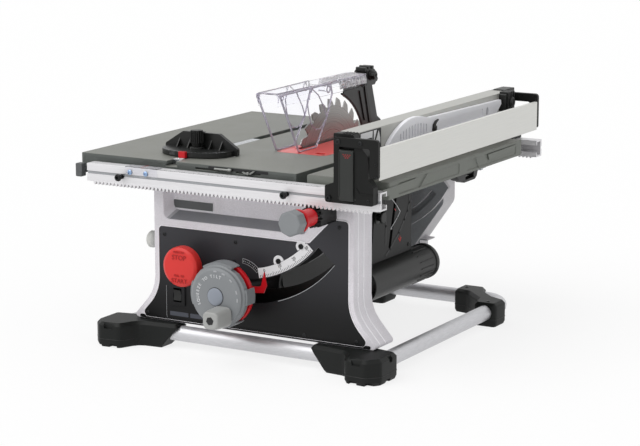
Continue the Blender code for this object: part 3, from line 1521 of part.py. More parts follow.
# Control panel with the wheel's curved slot, the paddle's hole and the switch opening
paddle_z = TOP - PADDLE_DROP
rocker_z = TOP - ROCKER_DROP
wheel_slot = sector(
    0,
    TOP,
    WHEEL_SLOT_HIGH,
    WHEEL_SLOT_LOW,
    -(HUB_R + 0.006) / WHEEL_DROP,
    TILT_MAX + (HUB_R + 0.006) / WHEEL_DROP,
    18,
)
rocker_half = ROCKER_WIDTH / 2
rocker_opening = rectangle(
    ROCKER_X - rocker_half - 2 * GAP,
    rocker_z - ROCKER_HEIGHT / 2 - 0.001,
    ROCKER_X + rocker_half + 2 * GAP,
    rocker_z + ROCKER_HEIGHT / 2 + 0.001,
)
bezel = rectangle(
    ROCKER_X - rocker_half - BEZEL_WALL,
    rocker_z - ROCKER_HEIGHT / 2 - BEZEL_WALL,
    ROCKER_X + rocker_half + BEZEL_WALL,
    rocker_z + ROCKER_HEIGHT / 2 + BEZEL_WALL,
    0.003,
)
control_back = control_front + CONTROL_THICK
node(
    "control_panel",
    prism(
        rounded(control_corners),
        control_front,
        control_back,
        "Y",
        [circle(PADDLE_X, paddle_z, PADDLE_STEM_R + PIN_GAP), wheel_slot],
    ),
    black,
    saw,
    joins=[prism(bezel, control_front - 0.003, control_front + 0.002, "Y")],
    cuts=[prism(rocker_opening, control_front - 0.01, control_back + 0.01, "Y")],
)
scale_low = math.radians(11)
scale_outline = sector(0, TOP, SCALE_R - SCALE_BAND, SCALE_R, scale_low, TILT_MAX + math.radians(2), 14)
node("bevel_scale", prism(scale_outline, scale_front, scale_front + SCALE_THICK, "Y"), white, saw)

paddle_slide = pivot("paddle_slide", (PADDLE_X, PADDLE_FRONT, paddle_z), saw)
paddle_back = PADDLE_FRONT + PADDLE_DEPTH
stem_back = control_back + 0.020
node(
    "stop_paddle",
    revolve(
        [
            (0, PADDLE_FRONT),
            (PADDLE_R - 0.006, PADDLE_FRONT + 0.001),
            (PADDLE_R - 0.001, PADDLE_FRONT + 0.004),
            (PADDLE_R, PADDLE_FRONT + 0.008),
            (PADDLE_R, paddle_back - 0.002),
            (PADDLE_R - 0.002, paddle_back),
            (PADDLE_STEM_R, paddle_back),
            (PADDLE_STEM_R, stem_back),
            (0, stem_back),
        ],
        "Y",
        PADDLE_X,
        paddle_z,
        28,
    ),
    red,
    paddle_slide,
)
rocker_swing = pivot("rocker_swing", (ROCKER_X, control_back, rocker_z), saw)
rocker_front = control_front - 0.0035
rocker_top = rocker_z + ROCKER_HEIGHT / 2
rocker_bottom = rocker_z - ROCKER_HEIGHT / 2
rocker_outline = [(control_back, rocker_bottom + 0.003), (control_back + 0.004, rocker_z)]
rocker_outline += [(control_back, rocker_top - 0.003), (rocker_front - 0.002, rocker_top - 0.002)]
rocker_outline += [(rocker_front + 0.0015, rocker_z)]
rocker_outline += [(rocker_front, rocker_bottom + 0.002)]
node(
    "power_rocker",
    prism(rocker_outline, ROCKER_X - rocker_half, ROCKER_X + rocker_half, "X"),
    black,
    rocker_swing,
)

# Rear panel, side panels and dust tube
rear_low = CENTRE_FOOT_HEIGHT + GAP
rear_knee = TOP - REAR_KNEE
rear_back = REAR_PANEL_FRONT + REAR_PANEL_DEPTH
rear_corners = [
    (REAR_FOOT_X - REAR_FOOT_HALF, rear_low, 0.006),
    (REAR_FOOT_X + REAR_FOOT_HALF, rear_low, 0.006),
    (REAR_HALF, rear_knee, 0.020),
    (REAR_HALF, panel_high, 0.010),
    (-REAR_HALF, panel_high, 0.010),
    (-REAR_HALF, rear_knee, 0.020),
]
rear_hollow = rounded(inset(rear_corners, PANEL_WALL))
node(
    "rear_panel",
    prism(rounded(rear_corners), REAR_PANEL_FRONT, rear_back, "Y"),
    silver,
    saw,
    cuts=[prism(rear_hollow, REAR_PANEL_FRONT + PANEL_WALL, rear_back + 0.01, "Y")],
)
side_front = hollow_front + GAP
side_high = panel_high - PANEL_WALL - GAP
side_right = -REAR_HALF - GAP
vents = []
for k in range(6):
    vent_y = 0.200 + 0.030 * k
    vents.append(rectangle(vent_y, TOP - 0.170, vent_y + 0.012, TOP - 0.090, 0.005, 2))
node(
    "left_side_panel",
    prism(
        rectangle(side_front, TOP - SIDE_LOW, rear_back - 0.010, side_high, 0.006),
        side_right - SIDE_WALL,
        side_right,
        "X",
        vents,
    ),
    black,
    saw,
)
dust_z = TOP - DUST_DROP
storage_low = dust_z + DUST_R + GAP
grooves = []
for groove_y, lean, rise, fall in ((0.130, 0.012, 0.030, 0.016), (0.200, 0.024, 0.020, 0.026)):
    low = storage_low + rise
    high = side_high - fall
    corners = [(groove_y, low), (groove_y + STORE_GROOVE, low - STORE_GROOVE / 2)]
    corners += [(groove_y + lean + STORE_GROOVE, high - STORE_GROOVE / 2), (groove_y + lean, high)]
    grooves.append(rounded([(y, z, 0.002) for y, z in corners]))
node(
    "right_storage_panel",
    prism(
        rectangle(side_front, storage_low, STORAGE_BACK, side_high, 0.004),
        STORAGE_X,
        STORAGE_X + STORAGE_WALL,
        "X",
        grooves,
    ),
    black,
    saw,
)
node(
    "dust_tube",
    revolve(
        [
            (DUST_BORE_R, DUST_FRONT),
            (DUST_R, DUST_FRONT),
            (DUST_R, DUST_BACK - 0.002),
            (DUST_R - 0.001, DUST_BACK),
            (DUST_BORE_R, DUST_BACK),
        ],
        "Y",
        DUST_X,
        dust_z,
        32,
    ),
    black,
    saw,
)


# Base: a front tube and two bent tubes held in five feet
def bent_path(side_x, inward):
    """From the front foot back along one side, round the rear corner and in to the centre foot."""
    direction = 1 if inward > side_x else -1
    corner_x = side_x + direction * TUBE_BEND
    corner_y = REAR_TUBE_Y - TUBE_BEND
    path = [Vector((side_x, FRONT_TUBE_Y - TUBE_R, TUBE_Z))]
    for k in range(7):
        turn = math.pi / 2 * k / 6
        path.append(
            Vector(
                (
                    corner_x - direction * TUBE_BEND * math.cos(turn),
                    corner_y + TUBE_BEND * math.sin(turn),
                    TUBE_Z,
                )
            )
        )
    return path + [Vector((inward, REAR_TUBE_Y, TUBE_Z))]


front_path = [
    Vector((LEFT_TUBE_X + TUBE_R + TUBE_END, FRONT_TUBE_Y, TUBE_Z)),
    Vector((RIGHT_TUBE_X - TUBE_R - TUBE_END, FRONT_TUBE_Y, TUBE_Z)),
]
left_path = bent_path(LEFT_TUBE_X, REAR_FOOT_X - TUBE_END)
right_path = bent_path(RIGHT_TUBE_X, REAR_FOOT_X + TUBE_END)
node("front_base_tube", sweep(front_path, TUBE_R), aluminium, saw)
node("left_base_tube", sweep(left_path, TUBE_R), aluminium, saw)
node("right_base_tube", sweep(right_path, TUBE_R), aluminium, saw)


def bore(path):
    """A tube's hole, a little longer than the tube at both ends."""
    first = (path[0] - path[1]).normalized() * GAP
    last = (path[-1] - path[-2]).normalized() * GAP
    return sweep([path[0] + first, *path[1:-1], path[-1] + last], TUBE_R + GAP)


def foot_solid(corners, height):
    low = rounded(inset(corners, FOOT_CHAMFER / 2), 2)
    full = rounded(corners, 2)
    high = rounded(inset(corners, FOOT_CHAMFER), 2)
    return loft([(low, 0), (full, FOOT_CHAMFER), (full, height - FOOT_CHAMFER), (high, height)], "Z")


front_foot = [
    (0.027, -0.016, 0.012),
    (0.027, 0.046, 0.010),
    (-0.020, 0.056, 0.010),
    (-0.040, 0.050, 0.020),
    (-SLEEVE_TOP, 0.048, 0.008),
    (-SLEEVE_TOP, 0.012, 0.008),
    (-0.052, 0.004, 0.020),
    (-0.036, -0.034, 0.012),
    (0.008, -0.038, 0.012),
]
rear_foot = [
    (-0.105, -0.023, 0.008),
    (-0.072, -0.030, 0.020),
    (-0.030, -0.072, 0.020),
    (-0.023, -0.105, 0.008),
    (0.023, -0.105, 0.008),
    (0.023, -0.058, 0.008),
    (-0.010, -0.042, 0.012),
    (-0.042, -0.010, 0.012),
    (-0.058, 0.023, 0.008),
    (-0.105, 0.023, 0.008),
]


sleeve_slope = [
    (-SLEEVE_LOW + 0.003, -0.004),
    (-SLEEVE_TOP - 0.004, FOOT_HEIGHT + 0.001),
    (-SLEEVE_TOP - 0.010, FOOT_HEIGHT + 0.001),
    (-SLEEVE_TOP - 0.010, -0.004),
]


def mirrored(corners, x, y, side):
    """Corners set about a point, turned over for the left side and kept anticlockwise."""
    placed = [(x + side * u, y + v, radius) for u, v, radius in corners]
    return placed if side > 0 else list(reversed(placed))


for name, x, side, path in (("left", LEFT_TUBE_X, -1, left_path), ("right", RIGHT_TUBE_X, 1, right_path)):
    slope = [(x + side * u, v) for u, v in sleeve_slope]
    node(
        f"front_{name}_foot",
        foot_solid(mirrored(front_foot, x, 0, side), FOOT_HEIGHT),
        black,
        saw,
        cuts=[bore(front_path), bore(path), prism(slope, 0, 0.060, "Y")],
    )
    node(
        f"rear_{name}_foot",
        foot_solid(mirrored(rear_foot, x, REAR_TUBE_Y, side), REAR_FOOT_HEIGHT),
        black,
        saw,
        cuts=[bore(path)],
    )
centre_foot = [
    (REAR_FOOT_X - 0.022, REAR_TUBE_Y - 0.040, 0.010),
    (REAR_FOOT_X + 0.022, REAR_TUBE_Y - 0.040, 0.010),
    (REAR_FOOT_X + 0.022, REAR_TUBE_Y + 0.022, 0.010),
    (REAR_FOOT_X - 0.022, REAR_TUBE_Y + 0.022, 0.010),
]
node(
    "rear_centre_foot",
    foot_solid(centre_foot, CENTRE_FOOT_HEIGHT),
    black,
    saw,
    cuts=[bore(left_path), bore(right_path)],
)

# Mitre gauge in the table's slot
mitre_slide = pivot("mitre_slide", (-SLOT_TO_BLADE, MITRE_PIVOT_Y, TOP), saw)
mitre_x = -SLOT_TO_BLADE
bar_z = TOP - GAP - MITRE_BAR_HEIGHT
node(
    "mitre_bar",
    box(
        mitre_x - MITRE_BAR_WIDTH / 2,
        mitre_x + MITRE_BAR_WIDTH / 2,
        MITRE_BAR_FRONT,
        MITRE_BAR_BACK,
        bar_z,
        TOP - GAP,
    ),
    steel,
    mitre_slide,
)
mitre_swivel = pivot("mitre_swivel", (mitre_x, MITRE_PIVOT_Y, TOP), mitre_slide)
wall_y = MITRE_PIVOT_Y + MITRE_SET_BACK
disc = [(mitre_x + MITRE_DISC_X, wall_y + MITRE_WALL / 2), (mitre_x - MITRE_DISC_X, wall_y + MITRE_WALL / 2)]
for a in range(0, 181, 15):
    turn = math.radians(a)
    disc.append((mitre_x - MITRE_DISC_X * math.cos(turn), MITRE_PIVOT_Y - MITRE_DISC_Y * math.sin(turn)))
mitre_low = TOP + GAP
fence_face = rounded(
    [
        (mitre_x - MITRE_HALF, mitre_low, 0.002),
        (mitre_x + MITRE_HALF, mitre_low, 0.002),
        (mitre_x + MITRE_HALF, mitre_low + MITRE_HEIGHT * 0.35, 0.004),
        (mitre_x + MITRE_HALF * 0.5, mitre_low + MITRE_HEIGHT, 0.006),
        (mitre_x - MITRE_HALF * 0.5, mitre_low + MITRE_HEIGHT, 0.006),
        (mitre_x - MITRE_HALF, mitre_low + MITRE_HEIGHT * 0.35, 0.004),
    ]
)
boss_high = mitre_low + MITRE_DISC + 0.004
node(
    "mitre_head",
    prism(fence_face, wall_y, wall_y + MITRE_WALL, "Y"),
    black,
    mitre_swivel,
    joins=[
        prism(disc, mitre_low + EDGE_STEP, mitre_low + MITRE_DISC, "Z"),
        rod(MITRE_BOSS_R, mitre_low + 2 * EDGE_STEP, boss_high, "Z", mitre_x, MITRE_PIVOT_Y),
    ],
    cuts=[rod(MITRE_STUD_R + PIN_GAP, boss_high - 0.012, boss_high + 0.01, "Z", mitre_x, MITRE_PIVOT_Y, 12)],
)
knob_spin = pivot("mitre_knob_spin", (mitre_x, MITRE_PIVOT_Y, boss_high), mitre_swivel)
knob_low = boss_high + GAP
lobes = []
for k in range(32):
    turn = 2 * math.pi * k / 32
    lobe_r = MITRE_KNOB_R - 0.0008 + 0.0008 * math.cos(8 * turn)
    lobes.append((mitre_x + lobe_r * math.cos(turn), MITRE_PIVOT_Y + lobe_r * math.sin(turn)))
node(
    "mitre_knob",
    prism(lobes, knob_low + MITRE_KNOB - 0.006, knob_low + MITRE_KNOB, "Z"),
    black,
    knob_spin,
    joins=[
        rod(0.008, knob_low, knob_low + MITRE_KNOB - 0.005, "Z", mitre_x, MITRE_PIVOT_Y, 16),
        rod(MITRE_STUD_R, boss_high - 0.011, knob_low + 0.002, "Z", mitre_x, MITRE_PIVOT_Y, 12),
    ],
)

# The saw stands centred on the origin
bpy.context.view_layer.update()
corners = [
    obj.matrix_world @ Vector(corner)
    for obj in bpy.context.scene.objects
    if obj.type == "MESH" and not obj.hide_render
    for corner in obj.bound_box
]
lows = [min(corner[i] for corner in corners) for i in range(3)]
highs = [max(corner[i] for corner in corners) for i in range(3)]
saw.location = (-(lows[0] + highs[0]) / 2, -(lows[1] + highs[1]) / 2, -lows[2])
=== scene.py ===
import json
import math

import bmesh
import bpy
from mathutils import Matrix, Vector


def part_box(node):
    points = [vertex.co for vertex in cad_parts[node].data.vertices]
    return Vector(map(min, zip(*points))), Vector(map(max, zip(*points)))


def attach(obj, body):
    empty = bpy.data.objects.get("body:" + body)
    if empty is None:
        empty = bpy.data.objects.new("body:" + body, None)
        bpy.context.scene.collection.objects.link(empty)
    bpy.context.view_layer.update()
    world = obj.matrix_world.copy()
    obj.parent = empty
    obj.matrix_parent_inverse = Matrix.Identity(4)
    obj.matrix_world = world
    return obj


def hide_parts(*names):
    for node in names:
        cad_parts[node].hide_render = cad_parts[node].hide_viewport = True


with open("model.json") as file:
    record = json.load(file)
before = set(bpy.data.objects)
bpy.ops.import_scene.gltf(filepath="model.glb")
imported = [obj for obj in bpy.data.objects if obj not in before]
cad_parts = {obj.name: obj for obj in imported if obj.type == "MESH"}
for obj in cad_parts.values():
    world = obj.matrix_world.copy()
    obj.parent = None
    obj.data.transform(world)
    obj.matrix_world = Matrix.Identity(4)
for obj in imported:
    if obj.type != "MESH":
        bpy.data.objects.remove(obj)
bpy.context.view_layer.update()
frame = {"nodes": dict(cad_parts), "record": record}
print("frame loaded with", len(frame["nodes"]), "nodes")

mm = 0.001  # sizes of pieces are in millimetres, and the shape functions turn them into metres
sawOrigin = Vector((-0.001, -0.26035, 0.0))  # blade plane, table front edge and floor, in metres
topZ = 350  # work surface above the floor
bladeY, bladeZ = 353, 302.4  # arbor centre
wheelZ = 128  # handwheel centre, in the blade plane
frontward, rearward, upward, leftward, rightward = (0, -1, 0), (0, 1, 0), (0, 0, 1), (-1, 0, 0), (1, 0, 0)
crease = 38  # degrees past which an edge is shaded sharp
noiseMiddle = {"From Min": 0.3, "From Max": 0.7}  # a noise pattern keeps nearly all its values between these


def linear(hexColour):
    channels = [int(hexColour[i:i + 2], 16) / 255 for i in (1, 3, 5)]
    return [c / 12.92 if c <= 0.04045 else ((c + 0.055) / 1.055) ** 2.4 for c in channels] + [1.0]


def addNode(tree, kind, settings=None, links=None):
    node = tree.nodes.new("ShaderNode" + kind)
    for key, value in (settings or {}).items():
        if isinstance(key, int) or key in node.inputs:
            node.inputs[key].default_value = value
        else:
            setattr(node, key, value)
    for key, source in (links or {}).items():
        tree.links.new(source, node.inputs[key])
    return node


def startMaterial(name, **sockets):
    material = bpy.data.materials.new(name)
    material.use_nodes = True
    tree = material.node_tree
    shader = tree.nodes["Principled BSDF"]
    for key, value in sockets.items():
        shader.inputs[key.replace("_", " ")].default_value = value
    return material, tree, shader


# gives the shader its tint, a gloss that varies with one pattern and, where there is one, a relief
def joinShader(tree, shader, tint, shine, gloss, relief=None, strength=0.5, depth=0.0):
    polish = addNode(tree, "MapRange", {**noiseMiddle, "To Min": gloss[0], "To Max": gloss[1]}, {"Value": shine})
    links = {"Roughness": polish.outputs["Result"]}
    if tint:
        links["Base Color"] = tint
    if relief:
        bump = addNode(tree, "Bump", {"Strength": strength, "Distance": depth * mm}, {"Height": relief})
        links["Normal"] = bump.outputs["Normal"]
    for key, source in links.items():
        tree.links.new(source, shader.inputs[key])


def perMm(size):
    return 1 / (size * mm)  # texture scale whose features are about this many millimetres


# injection mouldings: a spark-eroded skin that breaks the highlight, and a soft drift of shade from the tool's flow
def mouldedPlastic(name, colour, flow, roughness, grain, depth, specular=0.35, paintedSheen=None):
    material, tree, shader = startMaterial(name, IOR=1.53, Specular_IOR_Level=specular)
    place = addNode(tree, "TexCoord").outputs["Object"]
    drift = addNode(tree, "TexNoise", {"Scale": perMm(55), "Detail": 3.0}, {"Vector": place})
    skin = addNode(tree, "TexNoise", {"Scale": perMm(grain), "Detail": 2.0}, {"Vector": place}).outputs["Fac"]
    tint = addNode(tree, "Mix", {"data_type": "RGBA", 6: linear(colour), 7: linear(flow)},
                   {"Factor": drift.outputs["Fac"]}).outputs[2]
    # painted reflection: the face is painted paler towards its upper edge, standing in for the gloss reflecting the
    # light
    if paintedSheen:  # the face runs paler towards its upper edge
        split = addNode(tree, "SeparateXYZ", links={"Vector": place})
        rise = addNode(tree, "MapRange", {"From Min": paintedSheen["low"] * mm, "From Max": paintedSheen["high"] * mm,
                                          "interpolation_type": "SMOOTHSTEP"}, {"Value": split.outputs["Z"]})
        tint = addNode(tree, "Mix", {"data_type": "RGBA", 7: linear(paintedSheen["colour"])},
                       {"Factor": rise.outputs["Result"], 6: tint}).outputs[2]
    joinShader(tree, shader, tint, skin, (roughness - 0.06, roughness + 0.07), skin, 0.5, depth)
    return material


# drawn or extruded light metal: die lines run along one axis and stretch the highlight across it
def drawnMetal(name, colour, streak, roughness, stretch, lineMm=0.9, metallic=1.0):
    material, tree, shader = startMaterial(name, Metallic=metallic)
    place = addNode(tree, "TexCoord").outputs["Object"]
    lay = addNode(tree, "Mapping", {"Scale": [perMm(lineMm * s) for s in stretch]}, {"Vector": place})
    lines = addNode(tree, "TexNoise", {"Scale": 1.0, "Detail": 3.0}, {"Vector": lay.outputs["Vector"]}).outputs["Fac"]
    tone = addNode(tree, "MapRange", noiseMiddle, {"Value": lines})
    shade = addNode(tree, "Mix", {"data_type": "RGBA", 6: linear(streak), 7: linear(colour)},
                    {"Factor": tone.outputs["Result"]})
    joinShader(tree, shader, shade.outputs[2], lines, (roughness - 0.06, roughness + 0.06), lines, 0.2, 0.02)
    return material


# textured coat on cast metal or a formed panel: a pebbled skin, and a second tone on the faces turned one way, a
# painted light or shade for how the light falls on them, which on the rear panel is also its real two-tone paint
def powderCoat(name, face, rest, roughness, pebble, depth, axis="Z", start=0.35, end=0.9):
    material, tree, shader = startMaterial(name, IOR=1.5, Specular_IOR_Level=0.3)
    place = addNode(tree, "TexCoord").outputs["Object"]
    facing = addNode(tree, "NewGeometry")
    split = addNode(tree, "SeparateXYZ", links={"Vector": facing.outputs["True Normal"]})
    facingLightAndTone = addNode(tree, "MapRange", {"From Min": start, "From Max": end}, {"Value": split.outputs[axis]})
    pebbles = addNode(tree, "TexVoronoi", {"Scale": perMm(pebble), "feature": "SMOOTH_F1"}, {"Vector": place})
    rub = addNode(tree, "TexNoise", {"Scale": perMm(70), "Detail": 4.0}, {"Vector": place}).outputs["Fac"]
    fleck = addNode(tree, "TexNoise", {"Scale": perMm(1.6), "Detail": 1.0}, {"Vector": place}).outputs["Fac"]
    tone = addNode(tree, "Mix", {"data_type": "RGBA", 6: linear(rest), 7: linear(face)},
                   {"Factor": facingLightAndTone.outputs["Result"]})
    worn = addNode(tree, "MapRange", {**noiseMiddle, "To Min": 0.93, "To Max": 1.07}, {"Value": rub})
    speck = addNode(tree, "MapRange", {**noiseMiddle, "To Min": 0.94, "To Max": 1.06}, {"Value": fleck})
    both = addNode(tree, "Math", {"operation": "MULTIPLY"}, {0: worn.outputs["Result"], 1: speck.outputs["Result"]})
    shade = addNode(tree, "VectorMath", {"operation": "SCALE"},
                    {0: tone.outputs[2], "Scale": both.outputs["Value"]})
    joinShader(tree, shader, shade.outputs["Vector"], rub, (roughness - 0.06, roughness + 0.06),
               pebbles.outputs["Distance"], 0.5, depth)
    return material


# sprayed paint: a fine flake sparkle under a satin film with slight orange peel
def sprayedPaint(name, colour, flake, roughness, metallic):
    material, tree, shader = startMaterial(name, Metallic=metallic, Coat_Weight=0.12, Coat_Roughness=0.3)
    place = addNode(tree, "TexCoord").outputs["Object"]
    sparkle = addNode(tree, "TexNoise", {"Scale": perMm(0.9), "Detail": 1.0}, {"Vector": place})
    peel = addNode(tree, "TexNoise", {"Scale": perMm(2.4), "Detail": 1.0}, {"Vector": place})
    cloud = addNode(tree, "TexNoise", {"Scale": perMm(90), "Detail": 2.0}, {"Vector": place}).outputs["Fac"]
    mixed = addNode(tree, "Math", {"operation": "MULTIPLY_ADD", 1: 0.5}, {0: sparkle.outputs["Fac"], 2: cloud})
    tone = addNode(tree, "MapRange", {"From Min": 0.5, "From Max": 1.0}, {"Value": mixed.outputs["Value"]})
    shade = addNode(tree, "Mix", {"data_type": "RGBA", 6: linear(colour), 7: linear(flake)},
                    {"Factor": tone.outputs["Result"]})
    joinShader(tree, shader, shade.outputs[2], cloud, (roughness - 0.05, roughness + 0.05),
               peel.outputs["Fac"], 0.2, 0.04)
    return material


# clear polycarbonate or acrylic, moulded: see-through with a faint lilac body and a little haze in the skin
def clearMoulding(name, colour, bend, haze, through=1.0, ripple=0.0):
    material, tree, shader = startMaterial(name, IOR=bend, Transmission_Weight=through, Base_Color=linear(colour))
    place = addNode(tree, "TexCoord").outputs["Object"]
    drift = addNode(tree, "TexNoise", {"Scale": perMm(9), "Detail": 2.0}, {"Vector": place})
    relief = None
    if ripple:
        relief = addNode(tree, "TexVoronoi", {"Scale": perMm(5)}, {"Vector": place}).outputs["Distance"]
    joinShader(tree, shader, None, drift.outputs["Fac"], (haze, haze + 0.05), relief, 1.0, ripple)
    return material


# saw plate: fine rings of the grinding wheel about the arbor, drawn coarser than the real 0.1 mm so that they show
def groundDisc(name, colour, ring, roughness, ringMm):
    material, tree, shader = startMaterial(name, Metallic=0.9)
    place = addNode(tree, "TexCoord").outputs["Object"]
    flat = addNode(tree, "Mapping", {"vector_type": "POINT", "Scale": (0, 1, 1),
                                     "Location": (0, -bladeY * mm, -bladeZ * mm)}, {"Vector": place})
    reach = addNode(tree, "VectorMath", {"operation": "LENGTH"}, {0: flat.outputs["Vector"]})
    rings = addNode(tree, "TexNoise", {"noise_dimensions": "1D", "Scale": perMm(ringMm), "Detail": 2.0},
                    {"W": reach.outputs["Value"]}).outputs["Fac"]
    tone = addNode(tree, "MapRange", noiseMiddle, {"Value": rings})
    shade = addNode(tree, "Mix", {"data_type": "RGBA", 6: linear(ring), 7: linear(colour)},
                    {"Factor": tone.outputs["Result"]})
    joinShader(tree, shader, shade.outputs[2], rings, (roughness - 0.05, roughness + 0.05))
    return material


# painted reflection: the control panel's face is painted paler towards its top
controlPaintedSheen = {"low": 60, "high": 225, "colour": "#39393d"}
alongX, alongY, turnedLay = (60, 1, 1), (1, 60, 1), (4, 4, 4)  # how far a metal's lines are drawn out, by axis
finish = {
    # painted light and shade: the table's and extension's tops are painted lighter and their sides darker, for how the
    # light falls
    "textured_table_coat": powderCoat("powderCoatedTable", "#7c7d77", "#5b5f5c", 0.5, 1.3, 0.08),
    "extension_coat": powderCoat("powderCoatedExtension", "#7c7d77", "#70736d", 0.5, 1.3, 0.08),
    "throat_plate_lacquer": sprayedPaint("redLacquerSprayed", "#d8302b", "#e0403a", 0.34, 0.0),
    "anodised_aluminium": drawnMetal("anodisedRailExtruded", "#e6e5e7", "#dad9db", 0.46, alongX, metallic=0.55),
    # painted shade: the fence's anodised tone is darkened for the shade on the beam's side
    "fence_aluminium": drawnMetal("anodisedFenceShaded", "#b9b9b4", "#b1b1ad", 0.5, alongY, metallic=0.45),
    "base_tube_aluminium": drawnMetal("drawnTubeBrushed", "#d6d6d9", "#c6c6c9", 0.44, (14, 14, 1), metallic=0.75),
    "cast_aluminium": sprayedPaint("castAluminiumTumbled", "#2a2b2c", "#363738", 0.58, 0.4),
    "bright_steel": drawnMetal("zincPlatedSteelTurned", "#b9bcc0", "#9da0a4", 0.28, turnedLay, 0.7),
    "motor_enamel": sprayedPaint("motorEnamelBaked", "#202224", "#2c2e30", 0.45, 0.1),
    # painted shade: the silver's faces turned up, such as the pocket's sloped sill, are painted darker than the rest
    "silver_paint": powderCoat("silverPaintSprayed", "#8b8c90", "#e0dde2", 0.42, 1.1, 0.03, "Z", 0.7, 0.8),
    # the rear panel's inner face is the dark grey of its own two-tone paint, painted much lighter as painted light for
    # what reaches it from the right
    "rear_panel_paint": powderCoat("rearPanelPaintSprayed", "#8e9194", "#cfcdd0", 0.5, 1.1, 0.04, "Y", -0.45, -0.9),
    "side_moulding": mouldedPlastic("blackAbsSideMoulded", "#161716", "#1f201f", 0.5, 0.9, 0.05),
    "storage_moulding": mouldedPlastic("blackAbsStorageMoulded", "#0d0e0e", "#151616", 0.46, 0.9, 0.05, 0.22),
    "dust_tube_moulding": mouldedPlastic("blackAbsTubeMoulded", "#161716", "#1f201f", 0.42, 0.9, 0.05),
    "control_moulding": mouldedPlastic("charcoalAbsControlMoulded", "#060607", "#0b0b0c", 0.36, 0.7, 0.03, 0.2,
                                       controlPaintedSheen),
    "black_moulding": mouldedPlastic("blackNylonMoulded", "#121312", "#1b1c1b", 0.42, 0.8, 0.04),
    "charcoal_moulding": mouldedPlastic("charcoalNylonMoulded", "#0c0d0c", "#131413", 0.46, 0.8, 0.05, 0.2),
    "lever_moulding": mouldedPlastic("leverNylonMoulded", "#212321", "#2a2c2a", 0.44, 0.8, 0.05),
    "mitre_moulding": mouldedPlastic("mitreNylonMoulded", "#141514", "#1d1e1d", 0.36, 0.8, 0.05),
    "red_moulding": mouldedPlastic("redAbsMoulded", "#c2121d", "#cd1a24", 0.34, 0.8, 0.03),
    "paddle_moulding": mouldedPlastic("redAbsPaddleMoulded", "#cf2a26", "#d8332e", 0.38, 0.8, 0.03),
    "grey_moulding": mouldedPlastic("greyNylonWheelMoulded", "#7d8083", "#86898b", 0.42, 0.9, 0.05),
    "pale_moulding": mouldedPlastic("paleNylonCrankMoulded", "#9c9d9b", "#a7a8a6", 0.44, 0.9, 0.05),
    "push_stick_moulding": mouldedPlastic("paleAbsStickMoulded", "#eeeef4", "#f4f4f8", 0.4, 0.9, 0.04),
    "white_scale": mouldedPlastic("whiteAbsScaleMoulded", "#e2e2e4", "#ebebed", 0.36, 0.7, 0.02),
    "foot_rubber": mouldedPlastic("blackRubberFootMoulded", "#101211", "#181a19", 0.5, 1.1, 0.07, 0.2),
    "spreader_steel": sprayedPaint("spreaderBlackPhosphated", "#1c1d1d", "#262727", 0.42, 0.3),
    "blade_steel": groundDisc("sawPlateGround", "#a09f9d", "#8e8d8b", 0.32, 2.0),
    "clear_polycarbonate": clearMoulding("clearPolycarbonateMoulded", "#fdfdff", 1.06, 0.01),  # its edges carry it
}

# small parts and prints that the record has no slot of their own for
trim = {
    "blackSteel": drawnMetal("blackOxideSteelTurned", "#2b2c2d", "#1f2021", 0.36, turnedLay, 0.7, 0.7),
    "chrome": drawnMetal("chromePlatedPolished", "#dfe1e3", "#cfd1d4", 0.16, turnedLay, 0.7),
    "blueZinc": drawnMetal("blueZincPlatedTurned", "#9fb6d4", "#8aa3c6", 0.26, turnedLay, 0.7, 0.8),
    "dullSteel": drawnMetal("zincPlatedDullTurned", "#8d8f8c", "#7a7c79", 0.38, turnedLay, 0.7, 0.8),
    # painted light: a lighter copy of the fence's anodising for the flip plate, as if lit
    "flipPlateLitCopy": drawnMetal("anodisedFlipPlateLitCopy", "#e0e0dc", "#d8d8d4", 0.5, alongY, metallic=0.35),
    "smoke": mouldedPlastic("smokedAcrylicWindow", "#31353f", "#3a3e49", 0.16, 0.9, 0.01, 0.5),
    "wheelCap": mouldedPlastic("blueGreyNylonCapMoulded", "#878d98", "#9096a0", 0.34, 0.9, 0.03),
    "endGrey": mouldedPlastic("greyNylonBlockMoulded", "#515354", "#5a5c5d", 0.46, 0.8, 0.05),
    "hookGrey": mouldedPlastic("paleNylonHookMoulded", "#c9cac6", "#d2d3cf", 0.44, 0.9, 0.04),
    # painted highlight: a near-white silver for the front panel's beads, paler than the panel
    "panelBead": sprayedPaint("silverBeadPaintedHighlight", "#f0eef2", "#f6f4f8", 0.3, 0.2),
    "lilacEdge": clearMoulding("clearPolycarbonateEdge", "#e2ddeb", 1.36, 0.1, 0.62),  # light gathers in the edge
    "crinkled": clearMoulding("clearPolycarbonateCrinkled", "#e6e5ec", 1.4, 0.12, 0.55, 2.2),  # facets break it up
    "frosted": clearMoulding("clearAcrylicCursor", "#fbfbfd", 1.12, 0.04),
}
inkOf = {"black": ("#161617", "#1f1f20"), "pale": ("#d6d7d9", "#e0e1e3"), "grey": ("#a2a4a7", "#acaeb1"),
         "red": ("#b3211f", "#c22a27"), "darkRed": ("#9c1b1b", "#a62221")}
for ink, (colour, flow) in inkOf.items():
    trim[ink + "Ink"] = mouldedPlastic(ink + "InkPrinted", colour, flow, 0.45, 0.6, 0.01)
print("materials made:", len(finish) + len(trim))

bodyOf = {node: body for body, nodes in frame["record"]["behaviour"]["bodies"].items() for node in nodes}
slotOf = {sub["node"]: sub["material_slot"] for sub in frame["record"]["subparts"]}
# the rear trunnion takes the rear panel's lightened paint, lighter than its own dark casting: a painted light
lookOf = {"front_pinion": finish["black_moulding"], "rear_trunnion": finish["rear_panel_paint"],
          # painted light: the flip plate takes the lighter copy of the fence's anodising
          "flip_plate": trim["flipPlateLitCopy"]}


